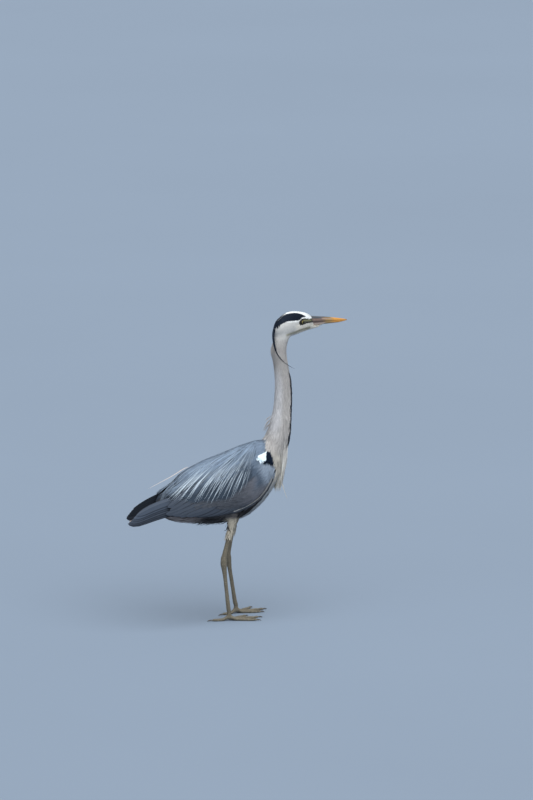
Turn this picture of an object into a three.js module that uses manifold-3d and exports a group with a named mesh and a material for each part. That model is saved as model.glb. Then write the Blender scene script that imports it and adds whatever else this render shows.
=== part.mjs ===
// An adult grey heron, life size, standing in a slow walk with its neck up and its bill level.
// Millimetres. While it is built, +X is ahead, +Y is the bird's left, +Z is up and the floor is z = 0.
import * as THREE from "three";
import Module from "manifold-3d";
import { mergeVertices } from "three/addons/utils/BufferGeometryUtils.js";

const wasm = await Module();
wasm.setup();

// ---- Driving sizes ----
const GAP = 0.35; // between two pieces that meet
const FAR = 1000; // beyond anything on the bird
const TRUNK_FRONT = 172;
const TRUNK_BACK = -188;
const WING_FRONT = 131;
const WING_BACK = -192;
const WING_THICKNESS = 12; // folded coverts and quills over the flank
const PRIMARY_ROOT = -118;
const PRIMARY_TIP = -288;
const TAIL_ROOT = -150;
const TAIL_TIP = -274;
const HEAD_CENTRE = new THREE.Vector3(205, 12, 763);
const HEAD_TURN = THREE.MathUtils.degToRad(7); // to the bird's left
const HEAD_NOD = THREE.MathUtils.degToRad(3); // bill slightly below level
const SKULL_BACK = -53; // behind the head's centre
const SKULL_FRONT = 70;
const BILL_BASE = 54;
const BILL_TIP = 180;
const BILL_TIP_HEIGHT = -1;
const EYE = { ahead: 20.5, up: 2.5, out: 15.4, radius: 7.5 };
const HIP_SPREAD = 35; // each leg from the middle plane
const KNEE_HEIGHT = 318; // hidden in the feathers of the flank
const JOINT_HEIGHT = 160; // the joint that bends backwards
const ANKLE_HEIGHT = 13;
const TOE_THICKNESS = 7.2;
const TOE_FLAT = 0.7; // how much each toe pad is flattened by the floor
const TOES = [
  { name: "middle", length: 84, turn: 0, claw: 13 },
  { name: "inner", length: 66, turn: 25, claw: 11 },
  { name: "outer", length: 74, turn: -27, claw: 11 },
  { name: "hind", length: 46, turn: 172, claw: 16 },
];

// ---- Colours of the living bird ----
const paint = (color, roughness = 0.8) =>
  new THREE.MeshStandardMaterial({ color, roughness, metalness: 0 });
const WHITE = paint(0xe9e7e0);
const NECK_GREY = paint(0xc9c3bb);
const BACK_GREY = paint(0x8c98a6);
const WING_GREY = paint(0x6b7681);
const QUILL = paint(0x3a444f);
const BLACK = paint(0x15181f, 0.6);
const HORN = paint(0xc9822e, 0.4);
const LEG = paint(0x8b7a5a, 0.6);
const CLAW = paint(0x3b352d, 0.45);
const EYE_YELLOW = paint(0xd8b93a, 0.08);

// ---- Shaping ----

// A smooth function of one number through stations, each [at, value].
function through(stations) {
  const slope = stations.map((station, i) => {
    const before = stations[Math.max(i - 1, 0)];
    const after = stations[Math.min(i + 1, stations.length - 1)];
    return (after[1] - before[1]) / (after[0] - before[0]);
  });
  const last = stations.length - 1;
  const rising = stations[last][0] > stations[0][0];
  return (at) => {
    const next = stations.findIndex((station) => (rising ? station[0] >= at : station[0] <= at));
    const i = next < 0 ? last - 1 : Math.max(next - 1, 0);
    const [x0, y0] = stations[i];
    const [x1, y1] = stations[i + 1];
    const span = x1 - x0;
    const t = THREE.MathUtils.clamp((at - x0) / span, 0, 1);
    const blend = y0 + (y1 - y0) * t * t * (3 - 2 * t);
    return blend + span * (slope[i] * t * (1 - t) ** 2 - slope[i + 1] * t * t * (1 - t));
  };
}

// Several such functions from one table, whose rows are [at, value, value, ...].
const columns = (rows) =>
  rows[0].slice(1).map((_, k) => through(rows.map((row) => [row[0], row[k + 1]])));

const bare = (geometry) => {
  geometry.deleteAttribute("normal");
  geometry.deleteAttribute("uv");
  return mergeVertices(geometry, 1e-4);
};

function volume(geometry) {
  const points = geometry.getAttribute("position");
  const corner = [0, 1, 2].map(() => new THREE.Vector3());
  let six = 0;
  for (let i = 0; i < geometry.index.count; i += 3) {
    corner.forEach((c, k) => c.fromBufferAttribute(points, geometry.index.getX(i + k)));
    six += corner[0].dot(corner[1].cross(corner[2]));
  }
  return six / 6;
}

function reversed(geometry) {
  const order = geometry.index.array;
  for (let i = 0; i < order.length; i += 3) [order[i], order[i + 1]] = [order[i + 1], order[i]];
  return geometry;
}

// A closed skin on the net of a sphere. place(along, round, point, open) sets each point: along goes
// from 0 to 1 between the poles, round from 0 to 2 pi, and open is 0 at the poles and 1 between them.
function skin(rings, sides, place) {
  const net = new THREE.SphereGeometry(1, sides, rings);
  const points = net.getAttribute("position");
  const point = new THREE.Vector3();
  for (let i = 0; i < points.count; i++) {
    const row = Math.floor(i / (sides + 1));
    const column = (i % (sides + 1)) % sides;
    const open = row === 0 || row === rings ? 0 : 1;
    place(row / rings, (column / sides) * 2 * Math.PI, point, open);
    points.setXYZ(i, point.x, point.y, point.z);
  }
  const closed = bare(net);
  return volume(closed) < 0 ? reversed(closed) : closed;
}

// A power of a sine or cosine that keeps its sign: under 1 it squares a round section.
const power = (value, exponent) => Math.sign(value) * Math.abs(value) ** exponent;

// Stations that crowd towards both ends of a length.
const crowded = (along) => 0.5 * along + 0.25 * (1 - Math.cos(along * Math.PI));

// A skin along X from a table of [x, top, bottom, half width]. widest is the share of the height at
// which it is widest.
function body(table, { rings, sides, widest = 0.5, square = 1 }) {
  const from = table[0][0];
  const to = table[table.length - 1][0];
  const [top, bottom, width] = columns(table);
  return skin(rings, sides, (along, round, point, open) => {
    const x = from + (to - from) * crowded(along);
    const level = bottom(x) + (top(x) - bottom(x)) * widest;
    const reach = Math.sin(round) > 0 ? top(x) - level : level - bottom(x);
    point.set(
      x,
      open * width(x) * power(Math.cos(round), square),
      level + open * reach * power(Math.sin(round), square),
    );
  });
}

// A skin along a curve, from a table of [share of the length, half depth, half breadth].
function limb(points, table, { rings, sides, tension = 0.5 }) {
  const line = new THREE.CatmullRomCurve3(
    points.map((p) => new THREE.Vector3(...p)), false, "catmullrom", tension);
  const [deep, wide] = columns(table);
  const tangent = new THREE.Vector3();
  const side = new THREE.Vector3();
  const ahead = new THREE.Vector3();
  return skin(rings, sides, (along, round, point, open) => {
    line.getPointAt(along, point);
    line.getTangentAt(along, tangent);
    side.set(0, 1, 0).addScaledVector(tangent, -tangent.y).normalize();
    ahead.crossVectors(side, tangent).normalize();
    point.addScaledVector(ahead, open * deep(along) * Math.cos(round));
    point.addScaledVector(side, open * wide(along) * Math.sin(round));
  });
}

// An upright pad on one flank, from a table of [x, top, bottom, distance out, thickness]. Its outer
// face is domed, its inner face sinks into the body by a share of the distance out, and lean pulls
// its top edge towards the back's ridge.
function pad(side, table, { rings, sides, sink = 0.4, lean = 0.6 }) {
  const from = table[0][0];
  const to = table[table.length - 1][0];
  const [top, bottom, out, thick] = columns(table);
  return skin(rings, sides, (along, round, point, open) => {
    const x = from + (to - from) * crowded(along);
    const across = open * power(Math.sin(round), 0.8);
    const curve = 1 - lean * Math.max(0, across) ** 4 - 0.3 * lean * Math.max(0, -across) ** 3;
    const depth = Math.cos(round) > 0 ? thick(x) : -thick(x) - sink * out(x);
    point.set(
      x,
      side * (out(x) * curve + open * depth * Math.abs(Math.cos(round)) ** 0.45),
      (top(x) + bottom(x)) / 2 + (across * (top(x) - bottom(x))) / 2,
    );
  });
}

// ---- Cutting ----

// The same shape with its surface moved out by the gap, to cut a neighbour.
function swollen(geometry) {
  const grown = geometry.clone();
  grown.computeVertexNormals();
  const points = grown.getAttribute("position");
  const normals = grown.getAttribute("normal");
  const point = new THREE.Vector3();
  const normal = new THREE.Vector3();
  for (let i = 0; i < points.count; i++) {
    normal.fromBufferAttribute(normals, i);
    point.fromBufferAttribute(points, i).addScaledVector(normal, GAP);
    points.setXYZ(i, point.x, point.y, point.z);
  }
  grown.deleteAttribute("normal");
  return grown;
}

const solid = (geometry) =>
  new wasm.Manifold(
    new wasm.Mesh({
      numProp: 3,
      vertProperties: new Float32Array(geometry.getAttribute("position").array),
      triVerts: new Uint32Array(geometry.index.array),
    }),
  );

// The largest body of a solid as a geometry, so that the slivers a cut leaves are dropped.
function geometryOf(made) {
  const largest = made.decompose().sort((a, b) => b.volume() - a.volume())[0];
  const mesh = largest.getMesh();
  return new THREE.BufferGeometry()
    .setAttribute("position", new THREE.BufferAttribute(new Float32Array(mesh.vertProperties), 3))
    .setIndex(new THREE.BufferAttribute(new Uint32Array(mesh.triVerts), 1));
}

const cut = (whole, ...others) =>
  others.reduce(
    (left, other) => left.subtract(solid(swollen(other))),
    whole.isBufferGeometry ? solid(whole) : whole,
  );

const joined = (...geometries) => geometries.map(solid).reduce((all, next) => all.add(next));

// All the space under a level plane, or under one tilted nose-up about a point.
const spaceBelow = (at, tilt = 0) =>
  solid(bare(new THREE.BoxGeometry(2 * FAR, 2 * FAR, 2 * FAR)
    .translate(0, 0, -FAR)
    .rotateY(-THREE.MathUtils.degToRad(tilt))
    .translate(...at)));
const underFloor = spaceBelow([0, 0, 0]);

const heron = new THREE.Group();

function node(name, shape, material, parent = heron) {
  const mesh = new THREE.Mesh(shape.isBufferGeometry ? shape : geometryOf(shape), material);
  mesh.name = name;
  parent.add(mesh);
}

// ---- Trunk: breast, belly, back and rump, much deeper than it is wide ----
const trunk = body([
  [TRUNK_BACK, 318, 300, 9],
  [-172, 346, 282, 19],
  [-150, 372, 270, 31],
  [-128, 394, 264, 38],
  [-100, 408, 260, 44],
  [-50, 427, 256, 50],
  [10, 443, 254, 54],
  [60, 457, 262, 55],
  [95, 464, 284, 52],
  [122, 464, 309, 47],
  [146, 450, 342, 37],
  [164, 428, 370, 23],
  [TRUNK_FRONT, 408, 388, 9],
], { rings: 22, sides: 20, widest: 0.5, square: 0.94 });
node("trunk", trunk, WHITE);

// ---- Folded wings: a leaf-shaped pad of coverts and quills over each flank, and the long
// primaries that reach past the rump on each side of the tail ----
const WING = [
  [WING_BACK, 336, 310, 22, 2],
  [-178, 346, 296, 27, 4.5],
  [-150, 358, 285, 35, 9],
  [-100, 382, 280, 44, WING_THICKNESS],
  [-50, 405, 282, 49, WING_THICKNESS],
  [0, 424, 287, 52, WING_THICKNESS],
  [40, 435, 297, 53, WING_THICKNESS],
  [75, 440, 310, 51, WING_THICKNESS],
  [102, 434, 333, 48, 10],
  [120, 414, 357, 42, 7],
  [WING_FRONT, 388, 372, 37, 2],
];
const PRIMARIES = [
  [PRIMARY_TIP, 283, 275, 14, 1],
  [-280, 293, 271, 16, 1.6],
  [-260, 308, 272, 18, 2.4],
  [-227, 327, 282, 23, 3.2],
  [-180, 343, 292, 31, 4],
  [-140, 352, 300, 38, 4],
  [PRIMARY_ROOT, 340, 312, 42, 2],
];
const SIDES = [["right", -1], ["left", 1]];
const wings = {};
for (const [label, side] of SIDES) {
  wings[label] = pad(side, WING, { rings: 16, sides: 14 });
  node("wing_" + label, cut(wings[label], trunk), WING_GREY);
}

// ---- Tail: a short closed fan, arched like a roof, between and under the primaries ----
const [tailLevel, tailWidth, tailThick] = columns([
  [TAIL_TIP, 277, 17, 1.4],
  [-262, 281, 20, 2.6],
  [-235, 289, 21, 4.5],
  [-200, 301, 19, 7],
  [TAIL_ROOT, 312, 16, 9],
]);
const tail = skin(10, 14, (along, round, point, open) => {
  const x = TAIL_TIP + (TAIL_ROOT - TAIL_TIP) * along;
  const across = power(Math.cos(round), 0.9);
  const lift = tailThick(x) * power(Math.sin(round), 0.9) - 5 * across ** 2;
  point.set(x, open * tailWidth(x) * across, tailLevel(x) + open * lift);
});
const tailCut = cut(tail, trunk, wings.right, wings.left);
node("tail", tailCut, BACK_GREY);
for (const [label, side] of SIDES) {
  const primaries = pad(side, PRIMARIES, { rings: 11, sides: 10, sink: 0, lean: 0.15 });
  node("wing_tip_" + label, cut(primaries, trunk, wings[label], tail), QUILL);
}

// ---- Head, in a frame of its own: +X along the bill, origin at the middle of the skull ----
const headGroup = new THREE.Group();
headGroup.position.copy(HEAD_CENTRE);
headGroup.rotation.set(0, HEAD_NOD, HEAD_TURN, "ZYX");
headGroup.updateMatrix();
heron.add(headGroup);

const skull = body([
  [SKULL_BACK, -13, -25, 7],
  [-46, 2, -33, 14],
  [-30, 18, -38, 19],
  [-10, 28, -38, 21.5],
  [10, 29.5, -35.2, 21.5],
  [28, 28, -30.3, 19],
  [44, 24, -25.8, 15.5],
  [58, 16.5, -21, 11.5],
  [SKULL_FRONT, 6, -17, 8],
], { rings: 16, sides: 16, square: 0.95 });
const chin = body([
  [40, -8, -24.3, 12],
  [60, -9, -20.8, 9.2],
  [80, -9.4, -17.4, 6.5],
  [95, -10.5, -13.5, 3],
], { rings: 6, sides: 10 });
const skullOnNeck = skull.clone().applyMatrix4(headGroup.matrix);
const chinOnNeck = chin.clone().applyMatrix4(headGroup.matrix);

const eyeball = (side) =>
  bare(new THREE.SphereGeometry(EYE.radius, 12, 8)
    .rotateX(Math.PI / 2)
    .translate(EYE.ahead, side * EYE.out, EYE.up));
const eyes = SIDES.map(([label, side]) => [label, eyeball(side)]);
node("head", cut(joined(skull, chin), ...eyes.map((eye) => eye[1])), WHITE, headGroup);
for (const [label, eye] of eyes) node("eye_" + label, eye, EYE_YELLOW, headGroup);

// ---- Bill: two tapering blades that meet along a nearly straight line ----
const [culmen, gape, gonys, billWidth] = columns([
  [BILL_BASE, 15, -0.8, -14, 11],
  [64, 13.8, -0.7, -13, 9.6],
  [84, 12.2, -0.6, -10.8, 7.8],
  [104, 10.4, -0.7, -9, 6.4],
  [130, 7.5, -0.9, -7.9, 4.9],
  [152, 4.5, -1, -6.6, 3.3],
  [168, 2.1, -1, -4.3, 1.9],
  [BILL_TIP, BILL_TIP_HEIGHT + 0.5, BILL_TIP_HEIGHT, BILL_TIP_HEIGHT - 0.5, 0.6],
]);
for (const [label, ridge, away] of [["upper", culmen, GAP / 2], ["lower", gonys, -GAP / 2]]) {
  const blade = skin(10, 10, (along, round, point, open) => {
    const x = BILL_BASE + (BILL_TIP - BILL_BASE) * along;
    const edge = gape(x) + away;
    const rise = Math.max(0, Math.sin(round)) ** 0.9;
    point.set(
      x,
      open * billWidth(x) * power(Math.cos(round), 0.85),
      edge + open * (ridge(x) - edge) * rise,
    );
  });
  node("bill_" + label, cut(blade, skull, chin), HORN, headGroup);
}

// ---- Neck: three lengths from the breast up to the skull, with a kink below the head ----
const neck = limb([
  [114, 0, 392], [144, 0, 438], [160, 0, 470], [168, 0, 507], [174, 1, 545], [177, 3, 596],
  [173, 5, 640], [168, 7, 682], [170, 8, 708], [178, 10, 732], [194, 11, 752],
], [
  [0, 28, 28], [0.1, 37, 33], [0.2, 35, 31], [0.3, 32, 28], [0.4, 27, 24], [0.55, 25, 21.5],
  [0.68, 22.5, 19.5], [0.78, 21, 18], [0.87, 21, 18], [0.94, 23, 19], [1, 20, 18],
], { rings: 26, sides: 14 });
const NECK_JOINTS = [
  { at: [172, 0, 528], tilt: 8 },
  { at: [174, 4, 634], tilt: -8 },
];
const belowJoint = (joint, shift) =>
  spaceBelow([joint.at[0], joint.at[1], joint.at[2] + shift], joint.tilt);
const neckCut = cut(neck, trunk, skullOnNeck, chinOnNeck);
const [lowJoint, highJoint] = NECK_JOINTS;
node("neck_lower", neckCut.intersect(belowJoint(lowJoint, -GAP / 2)), NECK_GREY);
node("neck_middle", neckCut.subtract(belowJoint(lowJoint, GAP / 2))
  .intersect(belowJoint(highJoint, -GAP / 2)), NECK_GREY);
node("neck_upper", neckCut.subtract(belowJoint(highJoint, GAP / 2)), NECK_GREY);

// ---- Plumes: a lock over the breast, and long narrow ones that hang or stand free ----
const breastPlumes = limb(
  [[148, 0, 474], [166, 0, 445], [167, 0, 408], [164, 0, 372], [162, -1, 344], [165, -2, 322]],
  [[0, 12, 16], [0.2, 19, 29], [0.4, 17, 27], [0.6, 13, 20], [0.8, 9, 13], [0.93, 5, 7], [1, 2, 2]],
  { rings: 11, sides: 12 });
node("breast_plumes", cut(breastPlumes, trunk, neck), WHITE);

const plume = (points, half, rings) =>
  limb(points, [[0, half, half], [0.6, half * 0.8, half * 0.8], [1, 0.35, 0.35]],
    { rings, sides: 6 });
const crestLong = plume([
  [152, 6, 752], [145, 0, 738], [143, -8, 716], [145, -16, 694], [158, -21, 673],
  [176, -23, 657], [198, -23, 645],
], 1.7, 16);
const crestShort = plume([
  [150, 10, 748], [144, 4, 732], [141, -4, 708], [145, -13, 686], [156, -21, 668],
  [171, -25, 653],
], 1.4, 14);
const breastPlume = plume([[166, -6, 352], [171, -7, 336], [177, -6, 318], [186, -4, 298]], 1.6, 8);
const backPlume = plume([[-112, 4, 406], [-146, 6, 388], [-180, 8, 374], [-217, 9, 359]], 1.5, 9);
node("crest_plume_long", cut(crestLong, skullOnNeck, neck), BLACK);
node("crest_plume_short", cut(crestShort, skullOnNeck, neck, crestLong), BLACK);
node("breast_plume_long", cut(breastPlume, breastPlumes, trunk), WHITE);
node("back_plume", cut(backPlume, trunk, wings.right, wings.left), BACK_GREY);

// ---- Legs: a feathered thigh, a bare shank with its joint, and a long-toed foot with claws ----
const share = (a, b, t) => a.map((value, i) => value + (b[i] - value) * t);

function leg(label, side, kneeX, jointX, ankleX) {
  const y = side * HIP_SPREAD;
  const knee = [kneeX, y * 0.94, KNEE_HEIGHT];
  const joint = [jointX, y + side, JOINT_HEIGHT];
  const ankle = [ankleX, y + side * 3, ANKLE_HEIGHT];
  const thigh = limb(
    [knee, share(knee, joint, 0.2), share(knee, joint, 0.4), share(knee, joint, 0.56)],
    [[0, 24, 16], [0.25, 25, 17], [0.5, 19, 14.5], [0.8, 12, 10.5], [0.97, 8.5, 8], [1, 7, 7]],
    { rings: 8, sides: 10, tension: 0.3 });
  const shank = limb(
    [share(knee, joint, 0.46), share(knee, joint, 0.7), share(knee, joint, 0.94), joint,
      share(joint, ankle, 0.06), share(joint, ankle, 0.5), ankle],
    [[0, 6, 5.5], [0.15, 5.6, 5], [0.33, 7, 5.8], [0.385, 9, 7.2], [0.43, 8.4, 7],
      [0.5, 5.6, 4.7], [0.75, 4.8, 4.1], [0.93, 5.4, 5.2], [1, 5, 6]],
    { rings: 17, sides: 8, tension: 0.4 });
  const toes = TOES.map((toe) => {
    const heading = side * THREE.MathUtils.degToRad(4 - toe.turn);
    const at = (distance, height) =>
      [ankle[0] + Math.cos(heading) * distance, ankle[1] + Math.sin(heading) * distance, height];
    const middle = TOE_THICKNESS / 2 - TOE_FLAT;
    return {
      name: toe.name,
      shape: limb(
        [at(-3, ANKLE_HEIGHT), at(6, 8.5), at(14, middle + 1), at(toe.length * 0.45, middle + 0.3),
          at(toe.length * 0.8, middle - 0.1), at(toe.length, middle - 0.6)],
        [[0, 4.5, 5], [0.15, 4.6, 4.7], [0.4, 3.7, 3.9], [0.6, 3.9, 4], [0.8, 3.3, 3.3], [1, 2, 2]],
        { rings: 7, sides: 7 }),
      claw: limb(
        [at(toe.length - 4, 3), at(toe.length + 3, 3.9), at(toe.length + toe.claw * 0.6, 2.9),
          at(toe.length + toe.claw, 0.7)],
        [[0, 1.6, 1.6], [0.4, 2, 1.7], [0.7, 1.5, 1.2], [1, 0.35, 0.35]],
        { rings: 4, sides: 5 }),
    };
  });
  node("thigh_" + label, cut(thigh, trunk, wings[label]), WHITE);
  node("shank_" + label, cut(shank, thigh), LEG);
  const foot = joined(...toes.map((toe) => toe.shape));
  node("foot_" + label, cut(foot, shank).subtract(underFloor), LEG);
  for (const { name, shape, claw } of toes)
    node("claw_" + name + "_" + label, cut(claw, shape).subtract(underFloor), CLAW);
}
leg("right", -1, 24, -20, -4);
leg("left", 1, 66, 30, 56);

// ---- The part's own frame: origin on the floor, under the middle of the bird's outline ----
const part = new THREE.Group();
part.add(heron);
const outline = new THREE.Box3().setFromObject(part, true);
const middle = outline.getCenter(new THREE.Vector3());
heron.position.set(-middle.x, -middle.y, -outline.min.z);

export default part;
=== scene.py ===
import math

import bmesh
import bpy
import numpy as np
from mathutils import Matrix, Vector, kdtree
from mathutils.bvhtree import BVHTree


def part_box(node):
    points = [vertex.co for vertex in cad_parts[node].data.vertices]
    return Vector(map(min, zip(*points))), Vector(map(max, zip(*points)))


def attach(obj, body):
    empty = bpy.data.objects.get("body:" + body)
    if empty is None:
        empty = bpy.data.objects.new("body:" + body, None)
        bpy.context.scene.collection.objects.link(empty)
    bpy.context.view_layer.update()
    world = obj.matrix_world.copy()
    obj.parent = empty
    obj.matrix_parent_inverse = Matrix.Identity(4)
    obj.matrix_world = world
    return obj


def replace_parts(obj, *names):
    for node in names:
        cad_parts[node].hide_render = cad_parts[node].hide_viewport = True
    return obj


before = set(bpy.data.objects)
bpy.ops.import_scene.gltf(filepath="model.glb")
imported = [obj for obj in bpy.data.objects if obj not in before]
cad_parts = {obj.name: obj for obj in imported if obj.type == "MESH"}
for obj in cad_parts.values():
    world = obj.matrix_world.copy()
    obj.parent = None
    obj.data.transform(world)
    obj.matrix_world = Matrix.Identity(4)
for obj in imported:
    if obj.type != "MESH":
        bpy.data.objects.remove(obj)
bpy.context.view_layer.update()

# ---- The bird's own axes. Its parts are laid out in millimetres from the floor under the hips:
# x ahead, y to its left, z up. The head has axes of its own along the bill, found from the eyes
# and the bill's tip. ----
MM = 0.001
RUMP_BEHIND_HIPS = 188.0
HIP_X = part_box("trunk")[0].x / MM + RUMP_BEHIND_HIPS
EYE_AHEAD, EYE_UP, BILL_TIP, BILL_TIP_UP = 20.5, 2.5, 180.0, -1.0


def bird(points):
    return np.asarray(points, float) / MM - (HIP_X, 0, 0)


def in_frame(points):
    return (np.asarray(points, float) + (HIP_X, 0, 0)) * MM


def unit(vectors):
    return vectors / np.maximum(np.linalg.norm(vectors, axis=-1, keepdims=True), 1e-9)


def read(items, key, width=1, kind=float):
    """One value of every vertex, edge or corner of a mesh, as rows where it is more than one number."""
    values = np.empty(width * len(items), kind)
    items.foreach_get(key, values)
    return values.reshape(-1, width) if width > 1 else values


def corners_of(name):
    return bird(read(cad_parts[name].data.vertices, "co", 3))


eye_middle = {}
for side_name in ("right", "left"):
    low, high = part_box("eye_" + side_name)
    eye_middle[side_name] = bird((np.array(low) + np.array(high)) / 2)
head_left = unit(eye_middle["left"] - eye_middle["right"])
between_eyes = (eye_middle["left"] + eye_middle["right"]) / 2
bill_corners = corners_of("bill_upper")
to_tip = bill_corners[bill_corners[:, 0].argmax()] - between_eyes
to_tip = unit(to_tip - head_left * (to_tip @ head_left))
droop = math.atan2(EYE_UP - BILL_TIP_UP, BILL_TIP - EYE_AHEAD)
head_ahead = to_tip * math.cos(droop) + np.cross(to_tip, head_left) * math.sin(droop)
head_up = np.cross(head_ahead, head_left)
HEAD_AXES = np.array([head_ahead, head_left, head_up])
HEAD_MIDDLE = between_eyes - EYE_AHEAD * head_ahead - EYE_UP * head_up


def on_head(points):
    return (points - HEAD_MIDDLE) @ HEAD_AXES.T


def from_head(points):
    return np.asarray(points, float) @ HEAD_AXES + HEAD_MIDDLE


# ---- Viewpoint: a long lens on the bird's right, a little behind it and above it, about twenty
# metres off, as a bird at the water's edge is watched. ----
VIEW_TURN, VIEW_RISE, VIEW_DISTANCE = math.radians(-28), math.radians(10), 20.0
AIM = Vector((0.0792, 0.0015, 0.5655))
FIELD_HEIGHT, SENSOR_WIDTH, FAR_CLIP = 2.08, 36.0, 200.0
camera_data = bpy.data.cameras.new("watcher")
camera_data.sensor_width = SENSOR_WIDTH
camera_data.lens = SENSOR_WIDTH * VIEW_DISTANCE / FIELD_HEIGHT
camera_data.clip_end = FAR_CLIP
camera = bpy.data.objects.new("watcher", camera_data)
away = Vector((math.sin(VIEW_TURN) * math.cos(VIEW_RISE),
               -math.cos(VIEW_TURN) * math.cos(VIEW_RISE), math.sin(VIEW_RISE)))
camera.location = AIM + away * VIEW_DISTANCE
camera.rotation_euler = away.to_track_quat("Z", "Y").to_euler()
bpy.context.scene.collection.objects.link(camera)
bpy.context.scene.camera = camera

# ---- Studio: a plain pale floor, one very soft light from overhead and a little to the bird's
# right, and a weaker cool fill from all round. ----
bpy.context.scene.view_settings.view_transform = "Standard"
FLOOR_REACH, FLOOR_COLOUR = 60.0, (0.180, 0.225, 0.290)
SKY_TINT, SKY_STRENGTH = (0.93, 0.97, 1.0), 0.40
OVERHEAD_STRENGTH, OVERHEAD_SPREAD, OVERHEAD_FROM = 4.5, math.radians(75), Vector((-0.06, -0.46, 1.0))


def material_for(name):
    """A new node material and its shader."""
    material = bpy.data.materials.new(name)
    material.use_nodes = True
    return material, material.node_tree, material.node_tree.nodes["Principled BSDF"]


def dial(node, **settings):
    """Sets a node's settings, and its inputs by name with an underscore for a space."""
    for key, value in settings.items():
        if hasattr(node, key):
            setattr(node, key, value)
        else:
            node.inputs[key.replace("_", " ")].default_value = value
    return node


def add_node(tree, kind, **settings):
    return dial(tree.nodes.new(kind), **settings)


def tone_ramp(tree, low, high):
    """A colour ramp from one tone to another."""
    ramp = add_node(tree, "ShaderNodeValToRGB")
    for element, tone in zip(ramp.color_ramp.elements, (low, high)):
        element.color = (*tone, 1)
    return ramp


def join(tree, source, output, target, socket):
    tree.links.new(source.outputs[output], target.inputs[socket])


floor_mesh = bpy.data.meshes.new("floor")
floor_mesh.from_pydata([(-FLOOR_REACH, -FLOOR_REACH, 0), (FLOOR_REACH, -FLOOR_REACH, 0),
                        (FLOOR_REACH, FLOOR_REACH, 0), (-FLOOR_REACH, FLOOR_REACH, 0)], [], [(0, 1, 2, 3)])
floor = bpy.data.objects.new("floor", floor_mesh)
bpy.context.scene.collection.objects.link(floor)
floor_finish, tree, shader = material_for("floor_paint")
mottle = add_node(tree, "ShaderNodeTexNoise", Scale=0.6, Detail=3.0)
shades = tone_ramp(tree, [0.96 * c for c in FLOOR_COLOUR], [1.04 * c for c in FLOOR_COLOUR])
place = add_node(tree, "ShaderNodeTexCoord")
join(tree, place, "Object", mottle, "Vector")
join(tree, mottle, "Fac", shades, "Fac")
join(tree, shades, "Color", shader, "Base Color")
dial(shader, Roughness=0.8)
floor_mesh.materials.append(floor_finish)

world = bpy.data.worlds.new("studio")
world.use_nodes = True
bpy.context.scene.world = world
dial(world.node_tree.nodes["Background"], Color=(*SKY_TINT, 1), Strength=SKY_STRENGTH)
sky_light = bpy.data.lights.new("sky_light", "SUN")
sky_light.energy = OVERHEAD_STRENGTH
sky_light.angle = OVERHEAD_SPREAD
sky_light.color = SKY_TINT
overhead = bpy.data.objects.new("sky_light", sky_light)
overhead.rotation_euler = OVERHEAD_FROM.to_track_quat("Z", "Y").to_euler()
bpy.context.scene.collection.objects.link(overhead)

# ---- Markings: the colours of an adult grey heron, used for skin and feathers alike. White crown
# between black stripes, grey neck with a black-streaked front, slate back and wings, a white and
# black shoulder patch, black flanks and a white belly. ----
CROWN_WHITE, CHEEK, CHIN = (0.92, 0.93, 0.92), (0.56, 0.55, 0.53), (0.80, 0.76, 0.68)
STRIPE_BLACK, THROAT_FOLD_SHADE = (0.005, 0.010, 0.021), (0.31, 0.29, 0.21)
NECK_GREY, NECK_FRONT, NECK_NAPE = (0.39, 0.368, 0.355), (0.54, 0.51, 0.485), (0.53, 0.52, 0.53)
MANTLE, SHOULDER, RUMP = (0.150, 0.195, 0.262), (0.078, 0.104, 0.142), (0.075, 0.095, 0.125)
WING_BROWN, WING_FOOT_BROWN, CARPAL = (0.162, 0.165, 0.188), (0.090, 0.096, 0.112), (0.27, 0.32, 0.39)
BREAST_WHITE, BELLY_SHADE_GREY = (0.46, 0.43, 0.38), (0.34, 0.36, 0.38)
FLANK_BLACK, BELLY_DEEP_SHADE, UNDERTAIL = (0.008, 0.008, 0.011), (0.095, 0.090, 0.092), (0.33, 0.285, 0.275)
THIGH_WHITE, SHOULDER_WHITE = (0.44, 0.40, 0.33), (0.74, 0.85, 0.91)
LORE, LORE_OLIVE, LID_DARK_AND_CREASE_SHADE = (0.075, 0.075, 0.055), (0.20, 0.19, 0.10), (0.012, 0.012, 0.010)
LEG_BROWN, SCAPULAR_SLATE = (0.155, 0.135, 0.10), (0.036, 0.049, 0.068)

CROWN_STRIPE = (  # on the head: ahead, up
    (36.8, 15.6), (30.3, 18.8), (24.4, 21.6), (15.7, 24.2), (3.5, 25.6), (-8.5, 25.1), (-19.1, 22.8),
    (-26.5, 19.2), (-33.1, 14.9), (-38.8, 9.3), (-44.5, 3.5), (-49, -3), (-64, -3), (-64, -66), (-56, -66),
    (-56, -44.4), (-54.5, -31.4), (-54, -20.5), (-50.5, -12), (-45, -5.6), (-36, 0.6), (-23.1, 5.4),
    (-8.6, 6.0), (2, 6.6), (8, 6.2), (13, 7), (17, 9.5), (20, 12.4), (27, 13.8), (32.7, 13.9),
)
BARE_LORE = (  # from the eye to the bill, ahead and up
    (17, 9), (24, 10.6), (36, 10.4), (50, 8.2), (60, 9.5), (68, 9.5), (68, -2.6), (52, -2.2), (44, -3),
    (32, -4.8), (20, -7), (12, -4), (11, 3),
)
GAPE_LINE = ((62, -0.8), (52, -0.3), (46, -0.4), (38, -1.3), (31, -2.5), (24, -4.2), (15, -6.2))
# The line under the brow where shade is painted, and the pale olive streak of the lore: ahead and up.
BROW_SHADE_LINE, LORE_STREAK = ((21, 9.8), (36, 9.6), (51, 7.4)), ((25, 5.9), (38, 5.2), (54, 4.4))
# The line under the jaw along which shade is painted in the fold of the throat: ahead and up.
THROAT_SHADE_LINE = ((-22, -31), (-13, -28.5), (1.9, -25.1), (17.4, -20), (35, -17.1), (52, -14.8))
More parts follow.
